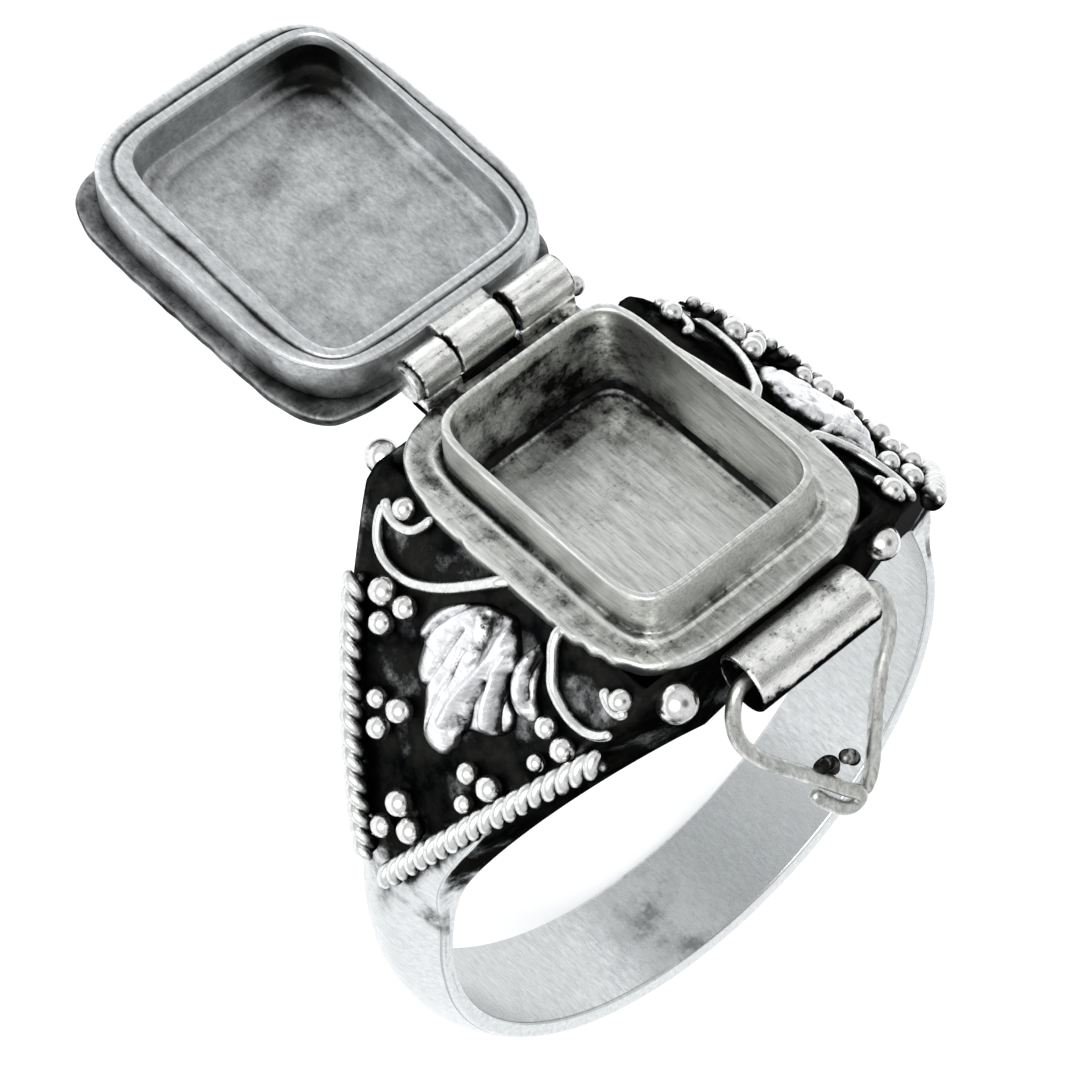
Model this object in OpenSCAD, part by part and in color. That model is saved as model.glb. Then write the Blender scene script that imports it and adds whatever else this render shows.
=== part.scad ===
// Poison ring: a silver locket ring, lying on its back edge with the lid open.
// It is drawn upright round the finger hole, X across the shoulders, Y along the finger,
// Z out of the head from the flange's top face, and lay() sets it down as it rests.

/* [Finger hole and shank] */
// radius of the finger hole
hole_r = 9.5; // [8:0.1:11]
// shank thickness at its sides
shank_side = 1.05; // [0.9:0.05:1.5]
// shank thickness at the bottom
shank_bottom = 1.4; // [0.9:0.05:2.2]
// half the shank's width
shank_half = 1.86; // [1.5:0.02:2.4]
// thickness of the shank's thin edges
shank_edge = 0.35; // [0.3:0.05:0.6]

/* [Shoulders and head] */
// height of the flange's top face above the middle of the finger hole
head_h = 12.79; // [12:0.01:15]
// half the head's width along the finger
head_half = 5.63; // [5:0.01:6.5]
// angle from the top where the shoulders start to narrow
taper_from = 18; // [10:1:25]
// angle from the top where they are as narrow as the shank
taper_to = 65; // [55:1:75]
// radius of the shoulders' outer curve
shoulder_r = 20.5; // [16:0.5:30]

/* [Box] */
// half the flange's width across the shoulders
flange_x = 4.65; // [4:0.05:5.5]
// half the flange's length along the finger
flange_y = 5.73; // [5:0.01:6.5]
// thickness of the flange
flange_t = 0.49; // [0.4:0.01:0.8]
// squareness of the flange's cushion outline
flange_square = 4.4; // [3:0.1:8]
// half the collar's width outside
collar_x = 3.39; // [2.8:0.01:3.6]
// half the collar's length outside
collar_y = 4.53; // [3.8:0.01:4.6]
// height of the collar above the flange
collar_h = 1.36; // [0.8:0.02:1.4]
// wall thickness of the collar
collar_wall = 0.33; // [0.25:0.01:0.5]
// squareness of the collar's outline
collar_square = 7.4; // [4:0.1:10]
// depth of the box from the collar's rim
box_depth = 3.1; // [2:0.05:3.4]
// width of the groove round the box's floor
floor_groove = 0.3; // [0.2:0.02:0.5]

/* [Lid hinge] */
// radius of the hinge barrel
barrel_r = 0.68; // [0.55:0.01:0.8]
// distance of the hinge axis behind the middle of the flange
hinge_y = 6.255; // [6:0.005:6.8]
// height of the hinge axis above the flange
hinge_z = 0.75; // [0.7:0.01:1]
// left end of the hinge barrel
barrel_from = -2.38; // [-2.8:0.02:-2]
// left end of the lid's knuckle
knuckle_from = -1.02; // [-1.4:0.02:-0.6]
// right end of the lid's knuckle
knuckle_to = 0.9; // [0.5:0.02:1.3]
// right end of the hinge barrel
barrel_to = 3.11; // [2.6:0.01:3.4]
// gap beside the lid's knuckle
knuckle_gap = 0.06; // [0.04:0.01:0.3]
// radius of the hinge pin
pin_r = 0.3; // [0.2:0.01:0.35]
// running clearance round the pins
pin_gap = 0.06; // [0.02:0.01:0.1]
// angle that the lid stands open at
lid_open = 174; // [120:1:180]

/* [Lid] */
// half the lid's width across the shoulders
lid_x = 4.65; // [4.2:0.01:5.5]
// half the lid's length along the finger
lid_y = 5.75; // [5.2:0.01:6.5]
// height of the lid from rim to top
lid_h = 1.9; // [1.6:0.02:3]
// thickness of the lid's top plate
plate_t = 0.4; // [0.3:0.02:0.6]
// how far the top plate stands out past the lid's side
plate_over = 0.2; // [0:0.02:0.4]
// how far the closed lid sits to the left of the middle
lid_shift = 0.2; // [0:0.05:0.25]
// clearance between the lid and its hinge barrel
lid_back_gap = 0.06; // [0.04:0.01:0.2]
// half the recess's width inside the lid
recess_x = 3.72; // [3.5:0.01:4.2]
// half the recess's length inside the lid
recess_y = 4.86; // [4.6:0.01:5.2]

/* [Clasp] */
// radius of the clasp tube
tube_r = 0.91; // [0.7:0.01:1]
// distance of the tube's axis in front of the middle of the flange
tube_y = 6.44; // [6.2:0.01:6.9]
// depth of the tube's axis below the flange's top
tube_z = 1.36; // [1.3:0.01:1.6]
// left end of the clasp tube
tube_from = -1.85; // [-2.1:0.05:-1.4]
// right end of the clasp tube
tube_to = 2.45; // [2:0.05:2.6]
// wall thickness of the rolled clasp tube
tube_wall = 0.15; // [0.12:0.01:0.3]
// radius of the latch wire
latch_r = 0.25; // [0.2:0.01:0.3]
// angle that the latch hangs out from the band
latch_out = 16; // [5:1:30]

/* [Ornament] */
// radius of the twisted rope borders
rope_r = 0.31; // [0.24:0.01:0.38]
// length of one lobe of the rope
rope_lobe = 0.5; // [0.4:0.02:0.8]
// radius of the scroll wires
scroll_r = 0.15; // [0.1:0.01:0.2]
// thickness of the leaves
leaf_t = 0.36; // [0.25:0.01:0.5]
// radius of the small grains
grain_r = 0.34; // [0.26:0.01:0.38]
// radius of the balls inside the scrolls
scroll_ball_r = 0.34; // [0.26:0.01:0.38]
// radius of the large balls beside the flange's corners
corner_ball_r = 0.58; // [0.45:0.01:0.62]
// gap under the soldered ornament
seat_gap = 0.03; // [0.02:0.01:0.06]

/* [Hidden] */
silver = [0.78, 0.78, 0.77];
dark_silver = [0.35, 0.35, 0.36];

// shank: its crown is a circle set a little below the hole's middle
crown_r = hole_r + shank_side;
crown_drop = shank_bottom - shank_side;
edge_r = crown_r - (shank_side - shank_edge);
edge_sag = crown_r - edge_r;
dome_r = (shank_half * shank_half + edge_sag * edge_sag) / (2 * edge_sag);

// shoulder curve: runs from the flange's edge and meets the crown's circle without a corner
start_x = flange_x + 0.1;
start_z = head_h - flange_t - 0.06;
start_far = norm([start_x, start_z + crown_drop]);
arc_off = shoulder_r - crown_r;
arc_share = (shoulder_r * shoulder_r - start_far * start_far - arc_off * arc_off)
          / (2 * arc_off * start_far);
meet_a = atan2(start_x, start_z + crown_drop) + acos(arc_share);
arc_x = arc_off * sin(meet_a);
arc_z = -head_h - crown_drop - arc_off * cos(meet_a);
head_top = 0.02 - flange_t;
meet_z = -head_h - crown_drop + crown_r * cos(meet_a);
start_a = atan2(start_z - head_h - arc_z, -start_x - arc_x);

// taper: half widths along the tangent at the middle of the shoulder
taper_mid = (taper_from + taper_to) / 2;
taper_r = hole_r + 1.3;
taper_s = taper_r * sin((taper_to - taper_from) / 2);
taper_end = taper_s * (head_half + shank_half) / (head_half - shank_half);

// box
inner_x = collar_x - collar_wall;
inner_y = collar_y - collar_wall;
floor_z = collar_h - box_depth;
groove_depth = 0.15;

// lid, drawn closed
rim_z = 0.05;
lid_top = rim_z + lid_h;
lid_mid_y = hinge_y - barrel_r - lid_back_gap - lid_y;
plate_x = lid_x + plate_over * 0.6;
plate_y = lid_y + plate_over;
plate_corner = 1.6;
recess_mid_y = hinge_y - 1.6 - recess_y;
recess_depth = lid_h - 0.4;

// how it rests: on the shank's back edge and the open lid's far edge
function opened(y, z) =
    [hinge_y + (y - hinge_y) * cos(lid_open) + (z - hinge_z) * sin(lid_open),
     hinge_z - (y - hinge_y) * sin(lid_open) + (z - hinge_z) * cos(lid_open)];
plate_far = opened(lid_mid_y - plate_y, lid_top);
rim_far = opened(lid_mid_y - lid_y, rim_z);
low_z = -head_h - crown_drop - edge_r;
lean = atan2(plate_far[1] - low_z, plate_far[0] - shank_half);
lay_z = shank_half * sin(lean) - low_z * cos(lean);
back_y = rim_far[0] * cos(lean) + rim_far[1] * sin(lean);
front_y = -shank_half * cos(lean) + low_z * sin(lean);
lay_y = -(back_y + front_y) / 2;

// columns of the path tables: distance down the shoulder, place along the finger
rope_front = [[1.66, -5.27], [9.94, -0.1]];
rope_back = [[1.2, 4.64], [9.85, 0.59]];
scroll_back = [[0.0, 0.27], [0.43, 0.71], [0.87, 1.24], [1.25, 1.83], [1.55, 2.5], [1.64, 3.09],
               [1.57, 3.56], [1.4, 4.0], [1.05, 4.3], [0.62, 4.36], [0.33, 4.05], [0.3, 3.65]];
scroll_front = [[0.0, -2.47], [0.44, -2.67], [0.89, -2.94], [1.25, -3.35], [1.42, -3.78],
                [1.45, -4.25], [1.32, -4.75], [1.0, -5.1], [0.55, -5.15], [0.3, -4.85],
                [0.3, -4.4]];
leaf_edge = [[0.4, -1.12], [0.42, -0.5], [0.59, 0.19], [1.15, 0.86], [1.78, 1.25], [2.4, 1.25],
             [3.0, 1.0], [3.3, 0.55], [3.62, 0.45], [4.15, 0.2], [4.55, -0.15], [4.65, -0.45],
             [4.4, -0.62], [4.7, -0.9], [4.55, -1.15], [4.1, -1.3], [3.75, -1.45],
             [3.62, -1.8], [3.15, -2.0], [2.6, -1.85], [1.9, -1.6], [1.1, -1.4]];
lobe_edge = [[0.62, -1.95], [0.9, -1.75], [1.72, -2.05], [2.2, -2.5], [2.3, -2.85], [2.05, -3.1],
             [1.55, -2.95], [0.95, -2.5]];
// columns: distance down the shoulder, place along the finger
grain_places = [[2.28, 3.2], [2.25, 2.42], [2.98, 2.78], [4.98, 1.9], [4.86, 1.1], [5.62, 1.5],
                [7.4, 0.12], [8.62, 0.42], [7.98, -0.45], [4.86, -1.84], [4.9, -2.62],
                [5.62, -2.12], [2.02, -3.5], [2.3, -4.22], [2.92, -3.72]];
// columns: place across the shoulders, place along the finger, height, size as a share
corner_balls_left = [[-3.66, -5.93, -0.9, 1], [-4.0, 5.85, -0.8, 0.9]];
corner_balls_right = [[3.98, -5.72, -1.3, 0.88], [4.0, 5.85, -0.8, 0.9]];
// columns: distance across the latch loop, distance down from the tube
latch_path = [[-1.1, 0], [-1.72, 0.0], [-2.04, 0.1], [-2.25, 0.38], [-2.43, 0.85], [-2.48, 1.46],
              [-2.3, 2.15], [-1.9, 2.88], [-1.38, 3.59], [-0.84, 4.29], [-0.45, 4.95],
              [-0.35, 5.7], [-0.1, 6.25], [0.3, 6.45], [0.72, 6.3], [1.15, 5.85], [1.56, 4.98],
              [2.02, 3.78], [2.4, 2.95], [2.78, 2.35], [3.08, 1.75], [3.18, 1.3], [3.14, 0.87],
              [3.02, 0.46], [2.78, 0.12], [2.4, 0.0], [1.7, 0]];

// outline helpers
function power(v, p) = sign(v) * pow(abs(v), p);
function cushion(half_x, half_y, square) =
    [for (a = [0:6:354]) [half_x * power(cos(a), 2 / square), half_y * power(sin(a), 2 / square)]];

module rounded(half_x, half_y, corner) {
    square([2 * half_x, 2 * (half_y - corner)], center = true);
    square([2 * (half_x - corner), 2 * half_y], center = true);
    for (sx = [-1, 1])
        for (sy = [-1, 1])
            translate([sx * (half_x - corner), sy * (half_y - corner)])
                circle(r = corner, $fn = 48);
}

module along_x(from, to, r, sides = 48) {
    translate([from, 0, 0])
        rotate([0, 90, 0])
            cylinder(r = r, h = to - from, $fn = sides);
}

// point on the left shoulder: u down it, v along the finger, lift off it
function shoulder_a(u) = start_a + u / shoulder_r * 180 / PI;
function on_shoulder(u, v, lift) =
    [arc_x + (shoulder_r + lift) * cos(shoulder_a(u)), v,
     arc_z + (shoulder_r + lift) * sin(shoulder_a(u))];

// smooth path through a table's rows
function curve_at(p, q, r, s, t) =
    0.5 * (2 * q + (r - p) * t + (2 * p - 5 * q + 4 * r - s) * t * t
           + (3 * q - p - 3 * r + s) * t * t * t);
function row(list, i) = list[min(max(i, 0), len(list) - 1)];
function smooth(list, parts) = [
    for (i = [0:len(list) - 2])
        for (k = [0:parts - 1])
            curve_at(row(list, i - 1), list[i], list[i + 1], row(list, i + 2), k / parts),
    list[len(list) - 1]];
function around(list, i) = list[(i + len(list)) % len(list)];
function smooth_loop(list, parts) = [
    for (i = [0:len(list) - 1])
        for (k = [0:parts - 1])
            curve_at(around(list, i - 1), list[i], around(list, i + 1), around(list, i + 2),
                     k / parts)];
function unit(v) = v / norm(v);

// solid through rings of points, with both ends closed
module skin(rings) {
    sides = len(rings[0]);
    last = len(rings) - 1;
    points = [for (ring = rings) each ring];
    walls = [
        for (i = [0:last - 1])
            for (k = [0:sides - 1])
                each [[i * sides + k, (i + 1) * sides + k, i * sides + (k + 1) % sides],
                      [i * sides + (k + 1) % sides, (i + 1) * sides + k,
                       (i + 1) * sides + (k + 1) % sides]]];
    near_end = [for (k = [0:sides - 1]) k];
    far_end = [for (k = [sides - 1:-1:0]) last * sides + k];
    polyhedron(points, concat([near_end], walls, [far_end]), convexity = 6);
}

// solid through a closed loop of rings
module skin_loop(rings) {
    sides = len(rings[0]);
    count = len(rings);
    points = [for (ring = rings) each ring];
    walls = [
        for (i = [0:count - 1])
            for (k = [0:sides - 1])
                each [[i * sides + k, ((i + 1) % count) * sides + k, i * sides + (k + 1) % sides],
                      [i * sides + (k + 1) % sides, ((i + 1) % count) * sides + k,
                       ((i + 1) % count) * sides + (k + 1) % sides]]];
    polyhedron(points, walls, convexity = 8);
}

// wire of round section laid on the left shoulder
module shoulder_wire(table, r, sides) {
    path = [for (p = smooth(table, 3)) on_shoulder(p[0], p[1], r + seat_gap)];
    flat = [for (p = smooth(table, 3)) p[0]];
    rings = [
        for (i = [0:len(path) - 1])
            let (ahead = unit(row(path, i + 1) - row(path, i - 1)),
                 up = [cos(shoulder_a(flat[i])), 0, sin(shoulder_a(flat[i]))],
                 side = unit(cross(up, ahead)),
                 out = cross(ahead, side))
            [for (k = [0:sides - 1])
                path[i] + r * (cos(360 * k / sides) * side + sin(360 * k / sides) * out)]];
    skin(rings);
}

// two-strand rope laid straight on the left shoulder
module shoulder_rope(ends) {
    run = norm(ends[1] - ends[0]);
    steps = 4 * round(run / rope_lobe);
    sides = 8;
    rings = [
        for (i = [0:steps])
            let (p = ends[0] + (ends[1] - ends[0]) * i / steps,
                 at = on_shoulder(p[0], p[1], rope_r + seat_gap),
                 down = [-sin(shoulder_a(p[0])), 0, cos(shoulder_a(p[0]))],
                 ahead = unit(down * (ends[1][0] - ends[0][0]) + [0, ends[1][1] - ends[0][1], 0]),
                 up = [cos(shoulder_a(p[0])), 0, sin(shoulder_a(p[0]))],
                 side = cross(up, ahead),
                 twist = 45 * i)
            [for (k = [0:sides - 1])
                let (a = 360 * k / sides,
                     r = rope_r * (0.84 + 0.16 * cos(2 * (a - twist))))
                at + r * (cos(a) * side + sin(a) * up)]];
    skin(rings);
}

// upright outline of one shoulder, from the middle of the ring to its outer curve
module shoulder_outline() {
    intersection() {
        translate([arc_x, arc_z])
            circle(r = shoulder_r, $fn = 180);
        translate([-2 * hole_r, meet_z])
            square([2 * hole_r, head_top - meet_z]);
    }
}

module shoulder_half() {
    intersection() {
        rotate([90, 0, 0])
            linear_extrude(height = 2 * head_half, center = true)
                shoulder_outline();
        translate([0, 0, -head_h])
            rotate([0, -taper_mid, 0])
                linear_extrude(height = 3 * hole_r)
                    polygon([[2 * hole_r, -head_half], [taper_s, -head_half], [-taper_end, 0],
                             [taper_s, head_half], [2 * hole_r, head_half]]);
    }
}

module shank() {
    translate([0, 0, -head_h - crown_drop])
        rotate([90, 0, 0])
            rotate([0, 0, -90 - (180 - taper_to + 10)])
                rotate_extrude(angle = 2 * (180 - taper_to + 10), $fn = 180)
                    intersection() {
                        translate([crown_r - dome_r, 0])
                            circle(r = dome_r, $fn = 96);
                        translate([hole_r - 2, -shank_half])
                            square([shank_side + 4, 2 * shank_half]);
                    }
}

module corner_balls(table, more) {
    for (ball = table)
        translate([ball[0], ball[1], ball[2]])
            sphere(r = corner_ball_r * ball[3] + more, $fn = 32);
}

module hinge_seat(from, to) {
    translate([from, flange_y - 0.8, -flange_t])
        cube([to - from, hinge_y - flange_y + 0.8, flange_t - 0.02]);
    translate([from, hinge_y - barrel_r + 0.04, -flange_t])
        cube([to - from, barrel_r - 0.04, flange_t + hinge_z - 0.3]);
    translate([0, hinge_y, hinge_z])
        along_x(from, to, barrel_r);
}

module clasp_tube() {
    translate([0, -tube_y, -tube_z])
        along_x(tube_from, tube_to, tube_r);
    translate([tube_from + 0.3, -tube_y + 0.6, -tube_z - 0.6])
        cube([tube_to - tube_from - 0.6, tube_y - head_half - 0.5, 1.0]);
}

module band() {
    color(silver)
        difference() {
            union() {
                shank();
                shoulder_half();
                mirror([1, 0, 0])
                    shoulder_half();
                translate([0, 0, -flange_t])
                    linear_extrude(height = flange_t)
                        polygon(cushion(flange_x, flange_y, flange_square));
                translate([0, 0, -flange_t])
                    linear_extrude(height = flange_t + collar_h)
                        polygon(cushion(collar_x, collar_y, collar_square));
                hinge_seat(barrel_from, knuckle_from - knuckle_gap);
                hinge_seat(knuckle_to + 0.2, barrel_to);
                clasp_tube();
            }
            // finger hole
            translate([0, 0, -head_h])
                rotate([90, 0, 0])
                    cylinder(r = hole_r, h = 4 * head_half, center = true, $fn = 180);
            // box, with the groove round its floor
            translate([0, 0, floor_z])
                linear_extrude(height = box_depth + 1)
                    polygon(cushion(inner_x, inner_y, collar_square));
            translate([0, 0, floor_z - groove_depth])
                linear_extrude(height = groove_depth + 0.1)
                    difference() {
                        polygon(cushion(inner_x, inner_y, collar_square));
                        polygon(cushion(inner_x - floor_groove, inner_y - floor_groove,
                                        collar_square));
                    }
            translate([0, hinge_y, hinge_z])
                along_x(barrel_from - 1, barrel_to + 1, pin_r + 0.02, 32);
            translate([0, -tube_y, -tube_z])
                along_x(tube_from - 1, tube_to + 1, tube_r - tube_wall);
            corner_balls(corner_balls_left, seat_gap);
            corner_balls(corner_balls_right, seat_gap);
        }
}

module hinge_pin() {
    color(silver)
        translate([0, hinge_y, hinge_z]) {
            along_x(barrel_from - 0.15, barrel_to + 0.2, pin_r, 32);
            along_x(barrel_from - 0.26, barrel_from - 0.04, pin_r + 0.25);
            translate([barrel_to + 0.36, -0.1, -0.12])
                sphere(r = pin_r + 0.02, $fn = 32);
        }
}

module ropes() {
    shoulder_rope(rope_front);
    shoulder_rope(rope_back);
}

// leaf cut from a sheet bent to the shoulder, with grooves between its ribs
module leaf() {
    mid_u = 2.4;
    intersection() {
        translate([arc_x, 0, arc_z])
            rotate([90, 0, 0])
                difference() {
                    cylinder(r = shoulder_r + leaf_t, h = 2 * head_half, center = true, $fn = 180);
                    cylinder(r = shoulder_r + seat_gap, h = 3 * head_half, center = true,
                             $fn = 180);
                }
        translate([arc_x, 0, arc_z])
            rotate([0, 90 - shoulder_a(mid_u), 0])
                translate([0, 0, shoulder_r - 3])
                    linear_extrude(height = 6)
                        difference() {
                            union() {
                                polygon([for (p = leaf_edge) [mid_u - p[0], p[1]]]);
                                polygon([for (p = lobe_edge) [mid_u - p[0], p[1]]]);
                            }
                            for (tip = [[3.05, 0.72], [4.38, -0.62], [3.66, -1.62]])
                                translate([mid_u - tip[0], tip[1]])
                                    rotate(atan2(-0.2 - tip[1], tip[0] - 0.9))
                                        translate([0, -0.06])
                                            square([1.2, 0.12]);
                        }
    }
}

module scrolls() {
    shoulder_wire(scroll_back, scroll_r, 6);
    shoulder_wire(scroll_front, scroll_r, 6);
}

module grains() {
    for (p = grain_places)
        translate(on_shoulder(p[0], p[1], grain_r + seat_gap))
            sphere(r = grain_r - 0.02, $fn = 24);
    for (end = [-1, 1])
        translate([-flange_x + 0.16, end * (flange_y - 0.65), head_top + scroll_ball_r + seat_gap])
            sphere(r = scroll_ball_r, $fn = 24);
}

module grains_left() {
    color(silver) {
        grains();
        corner_balls(corner_balls_left, 0);
    }
}

module grains_right() {
    color(silver) {
        mirror([1, 0, 0])
            grains();
        corner_balls(corner_balls_right, 0);
    }
}

// lid, drawn closed on the flange
module closed_lid() {
    difference() {
        union() {
            translate([-lid_shift, lid_mid_y, rim_z])
                linear_extrude(height = lid_h - plate_t / 2)
                    polygon(cushion(lid_x, lid_y, flange_square));
            translate([-lid_shift, lid_mid_y, lid_top - plate_t])
                linear_extrude(height = plate_t)
                    rounded(plate_x, plate_y, plate_corner);
            translate([0, hinge_y, hinge_z])
                along_x(knuckle_from, knuckle_to, barrel_r);
            translate([knuckle_from, hinge_y - 1.2, rim_z + 0.12])
                cube([knuckle_to - knuckle_from, 1.2, barrel_r]);
        }
        translate([-lid_shift, recess_mid_y, rim_z - 1])
            linear_extrude(height = recess_depth + 1)
                polygon(cushion(recess_x, recess_y, collar_square));
        translate([0, hinge_y, hinge_z])
            along_x(knuckle_from - 1, knuckle_to + 1, pin_r + pin_gap, 32);
    }
}

module lid() {
    color(silver)
        translate([0, hinge_y, hinge_z])
            rotate([-lid_open, 0, 0])
                translate([0, -hinge_y, -hinge_z])
                    closed_lid();
}

module latch() {
    sides = 8;
    path = [for (p = smooth_loop(latch_path, 2)) [p[0], 0, -p[1]]];
    rings = [
        for (i = [0:len(path) - 1])
            let (ahead = unit(around(path, i + 1) - around(path, i - 1)),
                 side = cross([0, 1, 0], ahead))
            [for (k = [0:sides - 1])
                path[i] + latch_r * (cos(360 * k / sides) * side
                                     + sin(360 * k / sides) * [0, 1, 0])]];
    color(silver)
        translate([0, -tube_y, -tube_z])
            rotate([-latch_out, 0, 0])
                skin_loop(rings);
}

module lay() {
    translate([0, lay_y, lay_z])
        rotate([-lean, 0, 0])
            children();
}

lay() band();
lay() hinge_pin();
lay() color(dark_silver) ropes();  // rope_left
lay() color(dark_silver) mirror([1, 0, 0]) ropes();  // rope_right
lay() color(silver) leaf();  // leaf_left
lay() color(silver) mirror([1, 0, 0]) leaf();  // leaf_right
lay() color(silver) scrolls();  // scrolls_left
lay() color(silver) mirror([1, 0, 0]) scrolls();  // scrolls_right
lay() grains_left();
lay() grains_right();
lay() lid();
lay() latch();
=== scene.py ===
import math

import bpy
import numpy as np
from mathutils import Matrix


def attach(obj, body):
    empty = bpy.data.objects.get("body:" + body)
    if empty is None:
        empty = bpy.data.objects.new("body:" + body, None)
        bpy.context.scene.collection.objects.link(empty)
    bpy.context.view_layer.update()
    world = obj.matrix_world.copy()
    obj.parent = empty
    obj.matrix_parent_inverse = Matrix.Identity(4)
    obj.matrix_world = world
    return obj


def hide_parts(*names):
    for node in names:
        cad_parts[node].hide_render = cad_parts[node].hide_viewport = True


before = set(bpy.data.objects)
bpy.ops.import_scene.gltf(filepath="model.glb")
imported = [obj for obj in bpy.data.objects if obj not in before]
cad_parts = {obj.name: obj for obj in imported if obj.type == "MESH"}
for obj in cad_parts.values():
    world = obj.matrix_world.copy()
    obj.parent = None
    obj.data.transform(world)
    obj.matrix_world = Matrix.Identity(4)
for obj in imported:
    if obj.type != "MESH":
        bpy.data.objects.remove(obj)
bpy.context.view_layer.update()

# The ring is worked out upright in millimetres: x across the shoulders, y along the finger,
# z out of the head, zero on the flange's top. lay() then sets it down on its back edge.
resting = {"leanDeg": 54.6876, "shiftY": 3.50074, "shiftZ": 14.80678}


def turnedAboutX(points, degrees):
    # y becomes y*cos - z*sin, and z becomes y*sin + z*cos
    c, s = math.cos(math.radians(degrees)), math.sin(math.radians(degrees))
    x, y, z = points[..., 0], points[..., 1], points[..., 2]
    return grid(x, y * c - z * s, y * s + z * c)


def lay(points):
    # turn about x by minus the lean, shift, and go from millimetres to metres
    shift = np.array([0, resting["shiftY"], resting["shiftZ"]])
    return (turnedAboutX(points, -resting["leanDeg"]) + shift) / 1000


def addObject(name, data):
    # an object of its own for the data, in the scene
    holder = bpy.data.objects.new(name, data)
    bpy.context.scene.collection.objects.link(holder)
    return holder


def grid(x, y, z):
    # rows and columns of points from three arrays, each drawn out to fit the others
    return np.stack(np.broadcast_arrays(x, y, z), -1)


def gridPart(points, tarnish, closedRows=False):
    # faces (i, j), (i+1, j), (i+1, j+1), (i, j+1) over a grid whose columns go once round
    rows, cols = points.shape[:2]
    i = np.arange(rows if closedRows else rows - 1)
    i, j = [a.ravel() for a in np.meshgrid(i, np.arange(cols), indexing="ij")]
    i2, j2 = (i + 1) % rows, (j + 1) % cols
    quads = np.stack([i * cols + j, i2 * cols + j, i2 * cols + j2, i * cols + j2], 1)
    return points, quads, tarnish


def outward(part):
    # a closed surface whose faces enclose a negative volume is turned inside out
    points, quads = part[0].reshape(-1, 3), part[1]
    a, b, c, d = [points[quads[:, k]] - points.mean(0) for k in range(4)]
    volume = (np.cross(b, c) * a).sum() + (np.cross(c, d) * a).sum()
    return points, quads if volume > 0 else quads[:, ::-1], part[2]


def makeMesh(name, parts, body, material, stands):
    # parts are (points, quads, tarnish) in ring millimetres; they join into one object
    tarnish = np.concatenate([np.broadcast_to(p[2], p[0].shape[:-1]).ravel() for p in parts])
    parts = [outward(p) for p in parts]
    points = np.concatenate([p[0] for p in parts])
    starts = np.cumsum([0] + [len(p[0]) for p in parts[:-1]])
    quads = np.concatenate([p[1] + s for p, s in zip(parts, starts)]).astype(np.int32)
    mesh = bpy.data.meshes.new(name)
    mesh.vertices.add(len(points))
    mesh.vertices.foreach_set("co", lay(points).astype(np.float32).ravel())
    mesh.loops.add(quads.size)
    mesh.loops.foreach_set("vertex_index", quads.ravel())
    mesh.polygons.add(len(quads))
    mesh.polygons.foreach_set("loop_start", np.arange(0, quads.size, 4, dtype=np.int32))
    mesh.update(calc_edges=True)
    mesh.validate()
    mesh.polygons.foreach_set("use_smooth", np.ones(len(mesh.polygons), dtype=bool))
    layer = mesh.attributes.new("tarnish", "FLOAT", "POINT")
    layer.data.foreach_set("value", held(tarnish).astype(np.float32))
    mesh.materials.append(material)
    piece = addObject(name, mesh)
    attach(piece, body)
    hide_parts(*stands)
    print("made", name, len(quads), "faces")


def fullTurn(count):
    # even angles once round, as a row
    return np.linspace(0, 2 * np.pi, count, endpoint=False)[None, :]


def tubePart(path, up, radius, sides, tarnish=0.0):
    # a round wire: side = up x ahead, rise = ahead x side, and every path point gets a ring of
    # radius * (cos * side + sin * rise)
    ahead = unit(np.gradient(path, axis=0))
    side = unit(np.cross(up, ahead))
    rise = np.cross(ahead, side)
    turn = fullTurn(sides)[..., None]
    ring = np.cos(turn) * side[:, None, :] + np.sin(turn) * rise[:, None, :]
    return gridPart(path[:, None, :] + radius[:, None, None] * ring, tarnish)


def roundedEnds(length, radius, count):
    # distances along a wire, crowded at its ends, with the radius of a half round end at each
    ends = radius * (1 - np.cos(np.linspace(0, np.pi / 2, 7)))
    middle = np.linspace(radius, length - radius, count)[1:-1]
    along = np.concatenate([ends, middle, length - ends[::-1]])
    near = np.minimum(np.minimum(along, length - along), radius)
    return along, np.sqrt(np.maximum(radius ** 2 - (radius - near) ** 2, 1e-8))


def steps(path):
    # the distance from each point to the next
    return np.linalg.norm(np.diff(path, axis=0), axis=1)


def smoothPath(table, count):
    # Catmull-Rom curve through the rows, at even steps of its own length or at given shares
    t = np.asarray(table, float)
    t = np.concatenate([2 * t[:1] - t[1:2], t, 2 * t[-1:] - t[-2:-1]])
    k = np.linspace(0, len(t) - 3 - 1e-6, 40 * len(t))
    i, f = k.astype(int), (k % 1)[:, None]
    a, b, c, d = t[i], t[i + 1], t[i + 2], t[i + 3]
    fine = 0.5 * (2 * b + (c - a) * f + (2 * a - 5 * b + 4 * c - d) * f ** 2
                  + (3 * b - a - 3 * c + d) * f ** 3)
    length = np.concatenate([[0], np.cumsum(steps(fine))])
    at = np.linspace(0, length[-1], count) if np.isscalar(count) else count * length[-1]
    return np.stack([np.interp(at, length, fine[:, n]) for n in range(fine.shape[1])], 1)


def unit(v):
    # each vector divided by its own length
    return v / np.maximum(np.linalg.norm(v, axis=-1, keepdims=True), 1e-12)


def ripple(p, size, seed):
    # gentle unevenness of hand work, from -1 to 1: a few sine waves that never line up
    k = 2 * np.pi / size
    a = np.sin(k * (p[..., 0] + 0.37 * p[..., 1]) + seed)
    b = np.sin(k * (0.83 * p[..., 1] - 0.52 * p[..., 2]) * 1.31 + 2.1 * seed)
    c = np.sin(k * (0.71 * p[..., 2] + 0.64 * p[..., 0]) * 1.73 + 3.7 * seed)
    return (a + b + c) / 3


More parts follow.
